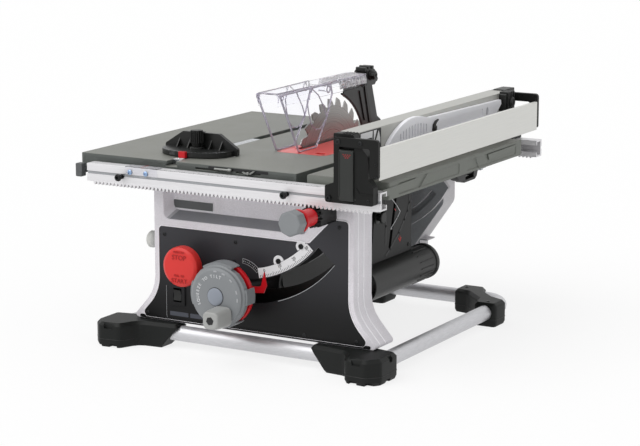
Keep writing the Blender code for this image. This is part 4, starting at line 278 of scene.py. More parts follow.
def finishPiece(name, mesh, material, body, nodes=(), smooth=crease):
    piece = bpy.data.objects.new(name, mesh)
    bpy.context.scene.collection.objects.link(piece)
    piece.location = sawOrigin
    mesh.materials.clear()
    mesh.materials.append(material)
    mesh.shade_smooth()
    mesh.set_sharp_from_angle(angle=math.radians(smooth))
    level = piece.modifiers.new("evenNormals", "WEIGHTED_NORMAL")
    level.keep_sharp = True
    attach(piece, body)
    if nodes:
        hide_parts(*nodes)
    return piece


def softenEdges(solid, width, skip=(), sharper=28):
    def roomy(edge):
        beside = [other for vert in edge.verts for other in vert.link_edges if other is not edge]
        return edge.calc_length() > 1.5 * width and all(other.calc_length() >= 1.3 * width for other in beside)

    def kept(edge):
        return all(any((vert.co - spot).length < 2 * width for spot in skip) for vert in edge.verts)

    chosen = [e for e in solid.edges
              if len(e.link_faces) == 2 and e.calc_face_angle(0) > math.radians(sharper) and roomy(e) and not kept(e)]
    if chosen:
        bmesh.ops.bevel(solid, geom=chosen, offset=width, offset_type="OFFSET", segments=2, profile=0.5,
                        affect="EDGES", clamp_overlap=False)


def softened(solid, width, tries=5):
    skip = []
    for _ in range(tries):  # a face that a round would fold keeps its sharp edges
        trial = solid.copy()
        softenEdges(trial, width, skip)
        trial.normal_update()
        folds = {a.face for a, b, c in trial.calc_loop_triangles()
                 if (b.vert.co - a.vert.co).cross(c.vert.co - a.vert.co).dot(a.face.normal) < -0.02 * mm * mm}
        if not folds:
            solid.free()
            return trial
        skip += [vert.co.copy() for face in folds for vert in face.verts]
        trial.free()
    return solid


def meshFrom(solid, name):
    bmesh.ops.recalc_face_normals(solid, faces=solid.faces)
    mesh = bpy.data.meshes.new(name)
    solid.to_mesh(mesh)
    solid.free()
    return mesh


def carved(solid, cutter):
    pair = []
    for name, shape in (("blank", solid), ("cutter", cutter)):
        holder = bpy.data.objects.new(name, meshFrom(shape, name))
        bpy.context.scene.collection.objects.link(holder)
        pair.append(holder)
    cut = pair[0].modifiers.new("cut", "BOOLEAN")
    cut.object = pair[1]
    cut.solver = "EXACT"
    graph = bpy.context.evaluated_depsgraph_get()
    result = bmesh.new()
    result.from_mesh(pair[0].evaluated_get(graph).to_mesh())
    for holder in pair:
        leftover = holder.data
        bpy.data.objects.remove(holder)
        bpy.data.meshes.remove(leftover)
    return result


def dressNode(node, edge, smooth, cutter=None):
    solid = bmesh.new()
    solid.from_mesh(frame["nodes"][node].data)
    bmesh.ops.translate(solid, verts=solid.verts, vec=-sawOrigin)
    bmesh.ops.remove_doubles(solid, verts=solid.verts, dist=0.002 * mm)
    if cutter:
        solid = carved(solid, cutter)
    bmesh.ops.dissolve_limit(solid, angle_limit=math.radians(0.6), verts=solid.verts, edges=solid.edges)
    if edge:
        solid = softened(solid, edge * mm)
    mesh = bpy.data.meshes.new(node + ".dress")
    solid.to_mesh(mesh)
    solid.free()
    look = lookOf.get(node) or finish[slotOf[node]]
    return finishPiece(node + ".dress", mesh, look, bodyOf[node], [node], smooth)


# shapes for the small parts, in saw coordinates
def metres(spot):
    return Vector([c * mm for c in spot])


def spotAt(axis, u, v, w):
    return {"X": (w, u, v), "Y": (u, w, v), "Z": (u, v, w)}[axis]


def layer(face, low, high):
    return face + low, face + high  # a thin layer on a face, from a little inside it


def span(centre, side, near, far):
    return sorted((centre + side * near, centre + side * far))


def disc(u, v, radius, steps=20, turn=0.0):
    angles = [turn + 2 * math.pi * k / steps for k in range(steps)]
    return [(u + radius * math.cos(a), v + radius * math.sin(a)) for a in angles]


def panel(u0, v0, u1, v1, radius=0.0, steps=4):
    if not radius:
        return [(u0, v0), (u1, v0), (u1, v1), (u0, v1)]
    corners = ((u1 - radius, v0 + radius, -90), (u1 - radius, v1 - radius, 0), (u0 + radius, v1 - radius, 90),
               (u0 + radius, v0 + radius, 180))
    return [(u + radius * math.cos(math.radians(start + 90 * k / steps)),
             v + radius * math.sin(math.radians(start + 90 * k / steps)))
            for u, v, start in corners for k in range(steps + 1)]


def onArc(u, v, radius, angle):
    return u + radius * math.sin(angle), v - radius * math.cos(angle)  # angle from straight down towards +u


def arcBand(u, v, inner, outer, first, last, steps=24):
    angles = [math.radians(first + (last - first) * k / steps) for k in range(steps + 1)]
    return [onArc(u, v, outer, a) for a in angles] + [onArc(u, v, inner, a) for a in reversed(angles)]


# rounds the corners of an outline given as (u, v, radius)
def roundOutline(corners, steps=4):
    outline = []
    for k, (u, v, radius) in enumerate(corners):
        here = Vector((u, v))
        back = (Vector(corners[k - 1][:2]) - here).normalized()
        ahead = (Vector(corners[(k + 1) % len(corners)][:2]) - here).normalized()
        half = back.angle(ahead) / 2
        reach = radius / math.tan(half)
        middle = here + (back + ahead).normalized() * (radius / math.sin(half))
        first, last = here + back * reach - middle, here + ahead * reach - middle
        outline += [tuple(middle + first.lerp(last, n / steps).normalized() * radius) for n in range(steps + 1)]
    return outline


def addSlab(solid, outline, low, high, axis="Y"):
    ends = [[solid.verts.new(metres(spotAt(axis, u, v, w))) for u, v in outline] for w in (low, high)]
    solid.faces.new(ends[0])
    solid.faces.new(ends[1])
    for k in range(len(outline)):
        j = (k + 1) % len(outline)
        solid.faces.new((ends[0][k], ends[0][j], ends[1][j], ends[1][k]))


def addStroke(solid, points, half, low, high, axis):
    for first, last in zip(points, points[1:]):
        a = Vector((last[0] - first[0], last[1] - first[1])).normalized() * half
        corners = [(first[0] - a.x - a.y, first[1] - a.y + a.x), (first[0] - a.x + a.y, first[1] - a.y - a.x),
                   (last[0] + a.x + a.y, last[1] + a.y - a.x), (last[0] + a.x - a.y, last[1] + a.y + a.x)]
        addSlab(solid, corners, low, high, axis)


def ringOfPoints(solid, centre, side, other, radius, steps):
    turns = [2 * math.pi * k / steps for k in range(steps)]
    return [solid.verts.new(centre + (side * math.cos(a) + other * math.sin(a)) * radius) for a in turns]


def addTurned(solid, at, facing, profile, steps=20, loop=False):
    facing = Vector(facing).normalized()
    side = facing.orthogonal().normalized()
    other = facing.cross(side)
    rings = [ringOfPoints(solid, metres(at) + facing * (along * mm), side, other, radius * mm, steps if radius else 1)
             for radius, along in profile]
    for lower, upper in zip(rings, rings[1:] + (rings[:1] if loop else [])):
        for k in range(steps):
            j = k + 1
            corners = (lower[k % len(lower)], lower[j % len(lower)], upper[j % len(upper)], upper[k % len(upper)])
            corners = list(dict.fromkeys(corners))
            if len(corners) > 2:
                solid.faces.new(corners)


def addTube(solid, points, radius, steps=8):
    points = [metres(p) for p in points]
    rings = []
    for k, point in enumerate(points):
        ahead = (points[min(k + 1, len(points) - 1)] - points[max(k - 1, 0)]).normalized()
        across = (across - ahead * across.dot(ahead) if rings else ahead.orthogonal()).normalized()
        rings.append(ringOfPoints(solid, point, across, ahead.cross(across), radius * mm, steps))
    for lower, upper in zip(rings, rings[1:]):
        for j in range(steps):
            i = (j + 1) % steps
            solid.faces.new((lower[j], lower[i], upper[i], upper[j]))
    solid.faces.new(rings[0])
    solid.faces.new(rings[-1])


def addScrew(solid, at, facing, radius, height, socket=0.5, steps=20):
    well, sunk = radius * socket, -0.2
    addTurned(solid, at, facing, [(0, height * 0.35), (well, height * 0.35), (well, height), (radius * 0.8, height),
                                  (radius, height * 0.6), (radius, sunk), (0, sunk)], steps)


def addWords(solid, words, size, centre, depth, spin=0.0):
    curve = bpy.data.curves.new("words", "FONT")
    curve.body = words
    curve.size = size * mm
    curve.extrude = depth * mm / 2
    curve.resolution_u = 3
    curve.align_x = "CENTER"
    curve.align_y = "CENTER"
    holder = bpy.data.objects.new("words", curve)
    bpy.context.scene.collection.objects.link(holder)
    mesh = bpy.data.meshes.new_from_object(holder.evaluated_get(bpy.context.evaluated_depsgraph_get()))
    bpy.data.objects.remove(holder)
    bpy.data.curves.remove(curve)
    upright = Matrix.Rotation(math.radians(90), 4, "X")
    mesh.transform(Matrix.Translation(metres(centre)) @ Matrix.Rotation(-spin, 4, "Y").inverted() @ upright)
    solid.from_mesh(mesh)
    bpy.data.meshes.remove(mesh)


def addPiece(name, solid, look, body, edge=0.0, smooth=crease):
    bmesh.ops.recalc_face_normals(solid, faces=solid.faces)
    if edge:
        softenEdges(solid, edge * mm)
    look = trim.get(look) or finish[look]
    return finishPiece(name, meshFrom(solid, name), look, body, (), smooth)


# one piece from a list of shapes, each given as its function and what that function takes
def buildPiece(name, look, body, shapes, edge=0.0):
    solid = bmesh.new()
    for add, *sizes in shapes:
        add(solid, *sizes)
    return addPiece(name, solid, look, body, edge)


edgeOf = {
    "table_top": 1.2, "throat_plate": 0.5, "extension_table": 0.9, "front_rail": 0.35, "rear_rail": 0.35,
    "fence_beam": 0.5, "fence_head": 1.0, "fence_lock_lever": 0.9, "fence_rear_hook": 1.2, "flip_plate": 0.7,
    "flip_arm_front": 0.8, "flip_arm_rear": 0.8, "push_stick": 0.8, "front_panel": 1.2, "control_panel": 0.5,
    "rear_panel": 1.4, "left_side_panel": 0.6, "right_storage_panel": 0.6, "dust_tube": 1.0, "handwheel": 0.9,
    "crank_knob": 1.0, "tilt_release_ring": 0.8, "stop_paddle": 1.0, "power_rocker": 0.5, "bevel_scale": 0.2,
    "bevel_pointer": 0.2, "front_left_foot": 0.5, "front_right_foot": 0.5, "rear_left_foot": 1.2,
    "rear_right_foot": 1.2, "rear_centre_foot": 1.2, "rail_knob": 2.2, "rail_lock_collar": 0.5,
    "mitre_bar": 0.4, "mitre_head": 0.9, "mitre_knob": 0.5, "spreader": 0.5, "guard_bar": 1.2,
    "left_shield": 0.5, "right_shield": 0.5,
}  # width of each node's edge round in millimetres
smoothOf = {"blade": 0.3}  # the ground plate stays flat up to each tooth

# push stick: slots between the handle's ribs, following its round top, and the oval hole by the hook
stick = {
    "x": (271.3, 279.3), "past": 2, "slots": 10, "first": 107, "pitch": 10.8, "slotHalf": 2.1, "slotRound": 1.2,
    "slotDepth": 4.5, "slotLow": 385, "arcY": 165, "arcTop": 426.2, "arcFall": 0.0029, "oval": (453, 410),
    "ovalHalf": (6.2, 9), "channel": (262, 405, 435, 419), "channelRound": 3, "channelDepth": 1.6,
    "outline": [(56.5, 364.3), (162.5, 364.3), (181, 382), (205, 400), (440, 400), (456, 385), (490, 371), (508, 376),
                (488, 399), (515, 418), (512, 426.2), (215, 431.2), (187.5, 436.8), (166.9, 439), (149, 438.6),
                (131.8, 436.2), (114, 431.8), (97.3, 425), (81, 416.5), (66.2, 406), (57, 394), (52.5, 380)],
}
inner, outer = stick["x"]
outside = outer + stick["past"]
stickCutter = bmesh.new()
for k in range(stick["slots"]):
    y = stick["first"] + k * stick["pitch"]
    top = stick["arcTop"] - stick["arcFall"] * (y - stick["arcY"]) ** 2
    slot = panel(y - stick["slotHalf"], stick["slotLow"], y + stick["slotHalf"], top, stick["slotRound"], 2)
    addSlab(stickCutter, slot, outer - stick["slotDepth"], outside, "X")
(y, z), (halfY, halfZ) = stick["oval"], stick["ovalHalf"]
addSlab(stickCutter, [(y + halfY * u, z + halfZ * v) for u, v in disc(0, 0, 1)], inner - stick["past"], outside, "X")
addSlab(stickCutter, panel(*stick["channel"], stick["channelRound"], 3), outer - stick["channelDepth"], outside, "X")
stickBlank = bmesh.new()
addSlab(stickBlank, stick["outline"], inner, outer, "X")
shaped = softened(carved(stickBlank, stickCutter), edgeOf["push_stick"] * mm)
finishPiece("push_stick.dress", meshFrom(shaped, "push_stick.dress"), finish[slotOf["push_stick"]],
            bodyOf["push_stick"], ["push_stick"])

# feet: notches under the front feet's soles, and the stepped pockets in their faces
feet = {
    "left": (-257, -1), "right": (283, 1), "notchLow": -2, "notchTop": 6.2, "notchRound": 1.5,
    "frontNotches": ((-28, -12), (4, 16)), "frontNotchY": (-60, -24), "sideNotchY": (4, 18), "sideNotch": (20.5, 40),
    "sidePocket": (22.2, 40), "frontPocketY": (-60, -31.8),
    "sideOutline": [(12, 47.5), (26, 47.5), (23.5, 34), (14.5, 34)],
    "frontOutline": [(-24, 47.5), (0.0, 47.5), (-4, 34.5), (-20, 34.5)],
}


def notch(ends):
    return panel(ends[0], feet["notchLow"], ends[1], feet["notchTop"], feet["notchRound"], 2)


cutterOf = {}
for name in ("left", "right"):
    x, side = feet[name]
    cutter = bmesh.new()
    for ends in feet["frontNotches"]:
        addSlab(cutter, notch(span(x, side, *ends)), *feet["frontNotchY"])
    addSlab(cutter, notch(feet["sideNotchY"]), *span(x, side, *feet["sideNotch"]), "X")
    addSlab(cutter, feet["sideOutline"], *span(x, side, *feet["sidePocket"]), "X")
    addSlab(cutter, [(x + side * u, z) for u, z in feet["frontOutline"]], *feet["frontPocketY"])
    cutterOf["front_" + name + "_foot"] = cutter
for node in frame["nodes"]:
    if node != "push_stick":
        dressNode(node, edgeOf.get(node, 0), smoothOf.get(node, crease), cutterOf.get(node))
print("nodes dressed")

# control panel: screws, switch field, status windows, label plate and the slot's bright lip
control = {
    "face": 30.3, "screwR": 3.6, "screwH": 1.2, "lineR": 0.35, "windowRound": 1.2,
    "screws": ((-163, 208), (-11, 209), (130.5, 209), (201.4, 257), (-202, 57.5), (-12, 55.5), (130.5, 56.5),
               (236, 57.5)),
    "field": ((-160.5, 113), (-160.5, 58), (-159.2, 53.5), (-156, 51.2), (-152, 50.7), (-62.8, 50.7)),
    "windows": ((-153, 58.3, -113.1, 66.4), (-109.1, 58.3, -71, 66.4)), "slotR": 250.6,
    "slotDegrees": range(18, 51, 2), "lipR": 0.6, "lipProud": 0.1, "labelRim": (44.5, 53.5, 176, 132, 10),
    "labelFace": (45.4, 52.6, 175, 133, 10), "marks": 9, "markR": 49, "markFrom": 173, "markStep": 4.4,
    "markWide": 1.6, "markSmall": 0.9, "markBig": 1.6,
}
face = control["face"]
buildPiece("controlScrews", "blackSteel", "base",
           [(addScrew, (x, face, z), frontward, control["screwR"], control["screwH"]) for x, z in control["screws"]])
buildPiece("switchFieldLine", "greyInk", "base",
           [(addTube, [(x, face, z) for x, z in control["field"]], control["lineR"], 6)])
buildPiece("statusWindows", "smoke", "base",
           [(addSlab, panel(*window, control["windowRound"], 3), *layer(face, -0.5, 0.2))
            for window in control["windows"]], 0.2)
lip = [onArc(0, topZ, control["slotR"], math.radians(a)) for a in control["slotDegrees"]]
buildPiece("wheelSlotLip", "greyInk", "base",
           [(addTube, [(x, face - control["lipProud"], z) for x, z in lip], control["lipR"], 6)])
buildPiece("tiltLabelRim", "greyInk", "base",
           [(addSlab, arcBand(0, wheelZ, *control["labelRim"]), *layer(face, -0.4, 0.2))], 0.1)
buildPiece("tiltLabelFace", "blackInk", "base",
           [(addSlab, arcBand(0, wheelZ, *control["labelFace"]), *layer(face, -0.6, 0.1))], 0.1)
marks = []
for k in range(control["marks"]):
    size = control["markSmall"] if k % 3 else control["markBig"]
    start = control["markFrom"] - control["markStep"] * k
    band = arcBand(0, wheelZ, control["markR"] - size, control["markR"] + size, start, start - control["markWide"], 2)
    marks.append((addSlab, band, *layer(face, -0.8, 0.0)))
buildPiece("tiltLabelMarks", "greyInk", "base", marks)

# bevel scale: a tick for each degree of tilt from the pointer's rest, numbered every ten, and two ears with bolts
bevel = {
    "zero": 15.0, "face": 28.8, "ticks": range(-3, 32), "outer": 203.6, "long": 8.5, "mid": 6.5, "short": 4.5,
    "half": 0.1, "print": 0.3, "sunk": 0.2, "numbers": (0, 10, 20, 30), "numberR": 192.5, "numberSize": 7.8,
    "ears": (25.5, 43.0), "earPlace": 183.5, "earR": 10.5, "earReach": 187.2, "earThick": 1.2, "bolt": (4.8, 3),
    "loneBolt": (-15.4, 172),
}
ticks = []
for degree in bevel["ticks"]:
    length = bevel["long"] if degree % 10 == 0 else bevel["mid"] if degree % 5 == 0 else bevel["short"]
    a = bevel["zero"] + degree
    tick = arcBand(0, topZ, bevel["outer"] - length, bevel["outer"], a - bevel["half"], a + bevel["half"], 1)
    ticks.append((addSlab, tick, *layer(bevel["face"], -bevel["print"], bevel["sunk"])))
for degree in bevel["numbers"]:
    a = math.radians(bevel["zero"] + degree)
    x, z = onArc(0, topZ, bevel["numberR"], a)
    ticks.append((addWords, str(degree), bevel["numberSize"], (x, bevel["face"] - bevel["print"] / 2, z),
                  bevel["print"] + bevel["sunk"], -a))
buildPiece("bevelScaleTicks", "blackInk", "base", ticks)
ears, bolts = [], []
for angle in bevel["ears"]:
    x, z = onArc(0, topZ, bevel["earPlace"], math.radians(angle))
    rim = disc(x, z, bevel["earR"], 28)
    inside = [math.hypot(u, topZ - v) < bevel["earReach"] for u, v in rim]  # the rest is the scale itself
    start = max(range(len(rim)), key=lambda k: inside[k] and not inside[k - 1])
    ear = [rim[k] for k in [*range(start, len(rim)), *range(start)] if inside[k]]
    ears.append((addSlab, ear, *layer(bevel["face"], 0.0, bevel["earThick"])))
    bolts.append((addScrew, (x, bevel["face"], z), frontward, *bevel["bolt"]))
x, z = bevel["loneBolt"]
bolts.append((addScrew, (x, face, z), frontward, *bevel["bolt"]))
buildPiece("bevelScaleEars", "white_scale", "base", ears, 0.2)
buildPiece("bevelScaleBolts", "blackSteel", "base", bolts)
print("control panel fitted")

# stop paddle: its moulded words
paddle = {"x": -98, "y": -22.1, "thick": 0.5,
          "words": (("PUSH TO", 5.6, 190.5), ("STOP", 12.5, 180.5), ("PULL TO", 5.6, 147.5),
                    ("START", 11.5, 138))}
buildPiece("paddleWords", "darkRedInk", "stop_paddle",
           [(addWords, text, size, (paddle["x"], paddle["y"], z), paddle["thick"])
            for text, size, z in paddle["words"]])

# handwheel: centre cap, groove, index dashes, the words round its face, rim lugs and the crank's socket
wheel = {
    "front": -55, "capR": 15.7, "grooveWide": 1.1, "grooveProud": 0.15, "sunk": -0.3,
    "capProfile": [(0, 3.2), (6, 3.1), (11, 2.7), (14.9, 2), (15.7, 1.2)], "dashR": 45.5, "dashHalf": 1.3,
    "dashSpread": 4, "dashes": (0, 22, 45, 74, 92), "words": "SQUEEZE TO TILT", "wordsR": 36.5, "wordsFrom": 244,
    "step": 9.4, "letter": 7.8, "thick": 0.6, "wordsProud": 0.2,
    "lugs": ((152, 214), (78, 106), (-26, 38), (250, 292)),
    "lugSteps": ((54.6, 59.2, -44, -34.4), (56.8, 59.2, -34.6, -17)),
}
hub, capR = (0, wheel["front"], wheelZ), wheel["capR"]
buildPiece("handwheelCap", "wheelCap", "handwheel",
           [(addTurned, hub, frontward, wheel["capProfile"] + [(capR, wheel["sunk"]), (0, wheel["sunk"])], 40)])
grooveR = capR + wheel["grooveWide"]
buildPiece("handwheelCapGroove", "blackInk", "handwheel",
           [(addTurned, hub, frontward, [(capR, wheel["sunk"]), (capR, wheel["grooveProud"]),
                                         (grooveR, wheel["grooveProud"]), (grooveR, wheel["sunk"])], 40, True)])
dashes = [arcBand(0, wheelZ, wheel["dashR"] - wheel["dashHalf"], wheel["dashR"] + wheel["dashHalf"],
                  180 - a - wheel["dashSpread"], 180 - a + wheel["dashSpread"], 4) for a in wheel["dashes"]]
buildPiece("handwheelDashes", "greyInk", "handwheel",
           [(addSlab, dash, *layer(wheel["front"], -0.6, 0.2)) for dash in dashes])
letters = []
for k, letter in enumerate(wheel["words"]):
    turn = math.radians(wheel["wordsFrom"] + k * wheel["step"])
    x, z = wheel["wordsR"] * math.sin(turn), wheelZ + wheel["wordsR"] * math.cos(turn)
    if letter != " ":
        letters.append((addWords, letter, wheel["letter"], (x, wheel["front"] - wheel["wordsProud"], z),
                        wheel["thick"], turn))
buildPiece("handwheelWords", "paleInk", "handwheel", letters)
buildPiece("handwheelLugs", "grey_moulding", "handwheel",
           [(addSlab, arcBand(0, wheelZ, low, high, *ends, 10), *depth)
            for ends in wheel["lugs"] for low, high, *depth in wheel["lugSteps"]], 0.5)
crank = {"x": 18, "z": 96, "front": -101.3, "socketR": 7.8, "turn": 0.2}
buildPiece("crankSocket", "blackInk", "crank_knob",
           [(addSlab, disc(crank["x"], crank["z"], crank["socketR"], 6, crank["turn"]),
             *layer(crank["front"], -0.2, 4))], 0.2)
print("handwheel marked")

# front rail: knurled stop screws, clear cursor over the rail's edge with two screws, ruler, and the end block beside it
rail = {
    "face": -33, "stops": ((-209.8, 319.7), (133.8, 319.8)), "knurls": 14, "knurlPlace": 6, "knurlR": 0.7,
    "knurlDepth": (-14.8, -10.8),
    "stopProfile": [(0, -0.3), (4.2, -0.3), (4.2, 1.2), (2.5, 1.6), (2.5, 9.5), (5.2, 9.8), (6, 10.6), (6, 15),
                    (5.2, 16), (2.8, 16), (2.8, 13), (0, 13)], "cursor": (-202.5, -133.5), "cursorFace": -34.6,
    "cursorScrews": ((-192.2, 329.2), (-158.1, 329.2)),
    "cursorOutline": [(-34.6, 325.2), (-33.6, 325.2), (-33.6, 338.6), (-8.5, 338.6), (-8.5, 339.6), (-34.6, 339.6)],
    "screwProfile": [(0, 0.6), (1, 0.6), (1.4, 1.8), (3.4, 1.6), (4.7, 0.6), (4.7, 0), (0, 0)],
    "hairline": (-169, -33, -168.4, -9.5), "hairlineZ": (339.5, 339.9), "ruler": 175, "rulerX": -150, "rulerStep": 2,
    "rulerY": -32.5, "rulerWide": 0.4, "rulerZ": (338.05, 338.25), "rulerLong": 6.2, "rulerMid": 4.6, "rulerShort": 3,
    "block": (((-317.8, 309.8, -304, 334.2, 2), -25.6, -12.8), ((-317.8, 316, -304, 328, 1), -13, 0.2),
              ((-316.6, 311.5, -305.2, 318.5, 1), -26.2, -25.4)),  # the hollow rail slides over it
    "groove": (-286.8, 319.75, 314.8, 324.25), "grooveY": (-30.4, -30),
}
stops = []
for x, z in rail["stops"]:
    stops.append((addTurned, (x, rail["face"], z), frontward, rail["stopProfile"], 20))
    stops += [(addSlab, disc(u, v, rail["knurlR"], 6), *layer(rail["face"], *rail["knurlDepth"]))
              for u, v in disc(x, z, rail["knurlPlace"], rail["knurls"])]
buildPiece("railStopScrews", "blackSteel", "rail_carriage", stops)
buildPiece("railCursor", "frosted", "rail_carriage",
           [(addSlab, rail["cursorOutline"], *rail["cursor"], "X")], 0.25)
buildPiece("railCursorScrews", "blueZinc", "rail_carriage",
           [(addTurned, (x, rail["cursorFace"], z), frontward, rail["screwProfile"], 24)
            for x, z in rail["cursorScrews"]])
buildPiece("railCursorHairline", "redInk", "rail_carriage",
           [(addSlab, panel(*rail["hairline"]), *rail["hairlineZ"], "Z")])
ruler = []
for k in range(rail["ruler"]):
    x, y = rail["rulerX"] + rail["rulerStep"] * k, rail["rulerY"]
    length = rail["rulerLong"] if k % 10 == 0 else rail["rulerMid"] if k % 5 == 0 else rail["rulerShort"]
    ruler.append((addSlab, panel(x, y, x + rail["rulerWide"], y + length), *rail["rulerZ"], "Z"))
buildPiece("railRulerTicks", "blackInk", "rail_carriage", ruler)
buildPiece("railEndBlock", "endGrey", "base",
           [(addSlab, panel(*sizes), low, high) for sizes, low, high in rail["block"]], 0.5)
# painted shade: a grey strip on the groove's floor darkens the groove
buildPiece("railGrooveShadeStrip", "greyInk", "rail_carriage",
           [(addSlab, panel(*rail["groove"]), *rail["grooveY"])])
print("rail fitted")

# stored pin and wing piece in the table's front skirt
store = {
    "slot": (-47.5, 343.2, 76.6, 348.2), "slotRound": 2.2, "slotY": (-0.2, 0.6), "pin": (-33.5, -3, 344.7),
    "rivet": (37.2, -1.2, 342.4), "wingY": (-4.4, -1.2),
    "pinProfile": [(0, 0), (1.2, 0.2), (2.1, 1.2), (2.1, 28.5), (3.2, 29), (3.2, 34.5), (2.2, 36.2), (0, 36.4)],
    "wing": [(24.5, 343.2), (30.5, 340.8), (42.5, 341), (50.8, 346.8), (50, 347.9), (47, 347.4), (41.5, 344),
             (33, 343.8), (26.5, 345.2)], "rivetProfile": [(0, -1), (3, -1), (3, 4.4), (2.2, 5), (0, 5)],
}
buildPiece("skirtSlot", "blackInk", "base",
           [(addSlab, panel(*store["slot"], store["slotRound"]), *store["slotY"])])
buildPiece("skirtPinAndWing", "dullSteel", "base",
           [(addTurned, store["pin"], rightward, store["pinProfile"], 18), (addSlab, store["wing"], *store["wingY"]),
            (addTurned, store["rivet"], frontward, store["rivetProfile"], 18)], 0.2)

# mitre gauge: red index, clear tongue on the bar, degree ticks, ribbed knob with a flat cap, ribs behind its wall
mitre = {
    "x": -126, "y": 84, "discX": 70, "discY": 44, "top": 360.3, "index": (-133.5, 33.5, -119, 41.2), "indexRound": 1.2,
    "indexZ": (351, 361.8), "tongueZ": (350.1, 350.7),
    "tongue": [(-135, 20.5), (-117.2, 20.5), (-117.2, 30), (-123, 33), (-130, 33), (-135, 30)],
    "screw": (-126, 25, 350.6), "screwSize": (3, 1.6), "ticks": range(-12, 13), "tickStep": 6.5, "tickOuter": 0.965,
    "tickInner": 0.9, "tickLong": 0.86, "tickHalf": 0.35, "ribs": 18, "ribPlace": 11.4, "ribR": 1.1,
    "ribZ": (372, 392.5), "capZ": 394.4, "capProfile": [(0, 0.6), (8, 0.6), (9.2, 0.2), (9.2, -0.4), (0, -0.4)],
    "wallRibs": (-172, -149, -103, -80), "wallHalf": 1.2, "wallOutline": [(86, 360.3), (98.5, 360.3), (98.5, 376)],
    "wallTab": (-131.5, 387, -120.5, 389.7, 0.8), "wallTabY": (98.5, 105.5),
}
buildPiece("mitreIndex", "red_moulding", "mitre_head",
           [(addSlab, panel(*mitre["index"], mitre["indexRound"]), *mitre["indexZ"], "Z")], 0.4)
buildPiece("mitreTongue", "paleInk", "mitre_bar",
           [(addSlab, mitre["tongue"], *mitre["tongueZ"], "Z")], 0.1)
buildPiece("mitreTongueScrew", "chrome", "mitre_bar",
           [(addScrew, mitre["screw"], upward, *mitre["screwSize"])])
degrees = []
for step in mitre["ticks"]:
    t = math.radians(step * mitre["tickStep"])
    inner = mitre["tickInner"] if step % 3 else mitre["tickLong"]
    a, b = ((mitre["x"] + mitre["discX"] * share * math.sin(t), mitre["y"] - mitre["discY"] * share * math.cos(t))
            for share in (inner, mitre["tickOuter"]))
    away = Vector((b[0] - a[0], b[1] - a[1])).normalized() * mitre["tickHalf"]
    tick = [(a[0] - away.y, a[1] + away.x), (a[0] + away.y, a[1] - away.x), (b[0] + away.y, b[1] - away.x),
            (b[0] - away.y, b[1] + away.x)]
    degrees.append((addSlab, tick, *layer(mitre["top"], -0.2, 0.2), "Z"))
buildPiece("mitreDegreeTicks", "greyInk", "mitre_head", degrees)
buildPiece("mitreKnobRibs", "mitre_moulding", "mitre_knob",
           [(addSlab, disc(u, v, mitre["ribR"], 6), *mitre["ribZ"], "Z")
            for u, v in disc(mitre["x"], mitre["y"], mitre["ribPlace"], mitre["ribs"])])
buildPiece("mitreKnobCap", "lever_moulding", "mitre_knob",
           [(addTurned, (mitre["x"], mitre["y"], mitre["capZ"]), upward, mitre["capProfile"], 28)])
buildPiece("mitreWallRibs", "mitre_moulding", "mitre_head",
           [(addSlab, mitre["wallOutline"], *layer(x, -mitre["wallHalf"], mitre["wallHalf"]), "X")
            for x in mitre["wallRibs"]] + [(addSlab, panel(*mitre["wallTab"]), *mitre["wallTabY"])], 0.3)
print("mitre gauge fitted")

# fence head: dotted grip mark on the lever, its rims, socket screws, ribs, window frame with white plates inside it
# that paint the bright backdrop seen through the window
head = {
    "leverFace": -52.5, "front": -50, "dotRows": (4, 3, 2), "dotStep": 4.2, "dotDrop": 2.6, "dotTop": 401.5,
    "dotX": 261.2, "dotProfile": [(0, 0.3), (0.8, 0.3), (1.1, 0), (1.1, -0.2), (0, -0.2)], "rims": (247.2, 272.8),
    "rimHalf": 0.8, "rimZ": (330, 406.5), "rimRound": 0.6,
    "screws": ((226.5, 325.5, 4.4, 3.2, 0.55), (301, 325.5, 3, 1.4, 0.5), (239.5, 429, 2.6, 1.2, 0.5)),
    "ribs": (252, 258, 264, 270), "ribHalf": 1.1, "ribY": (-47, -30), "ribRound": 0.8, "ribZ": (436, 437.6),
    "brow": [(276.5, 346), (279, 347), (285, 338), (309, 338), (309, 336), (283.5, 336)], "beamFace": 271,
    "frame": (-25.5, 399, 49.2, 435.2, 1.5),
    "plates": ([(-23.5, 419), (-7, 419), (-4, 422.5), (15, 422.5), (17, 419), (18.5, 433.5), (-23.5, 433.5)],
               [(22.5, 433.5), (22.5, 412), (33, 433.5)], [(26.5, 409), (45, 409), (45, 418), (40, 431)]),
}
dots = []
for row, count in enumerate(head["dotRows"]):
    for k in range(count):
        x = head["dotX"] + (k - (count - 1) / 2) * head["dotStep"]
        spot = (x, head["leverFace"], head["dotTop"] - row * head["dotDrop"])
        dots.append((addTurned, spot, frontward, head["dotProfile"], 10))
buildPiece("leverGripDots", "darkRedInk", "fence_lever", dots)
low, high = head["rimZ"]
buildPiece("leverRims", "lever_moulding", "fence_lever",
           [(addSlab, panel(x - head["rimHalf"], low, x + head["rimHalf"], high, head["rimRound"]),
             *layer(head["leverFace"], -0.7, 0.3)) for x in head["rims"]], 0.2)
buildPiece("headScrews", "blackSteel", "rail_carriage",
           [(addScrew, (x, head["front"], z), frontward, *sizes) for x, z, *sizes in head["screws"]])
low, high = head["ribY"]
buildPiece("headRibs", "charcoal_moulding", "rail_carriage",
           [(addSlab, panel(x - head["ribHalf"], low, x + head["ribHalf"], high, head["ribRound"]), *head["ribZ"], "Z")
            for x in head["ribs"]] + [(addSlab, head["brow"], *layer(head["front"], -1.2, 0.4))], 0.3)
buildPiece("catchFrame", "blackInk", "rail_carriage",
           [(addSlab, panel(*head["frame"]), *layer(head["beamFace"], -0.2, 1), "X")], 0.3)
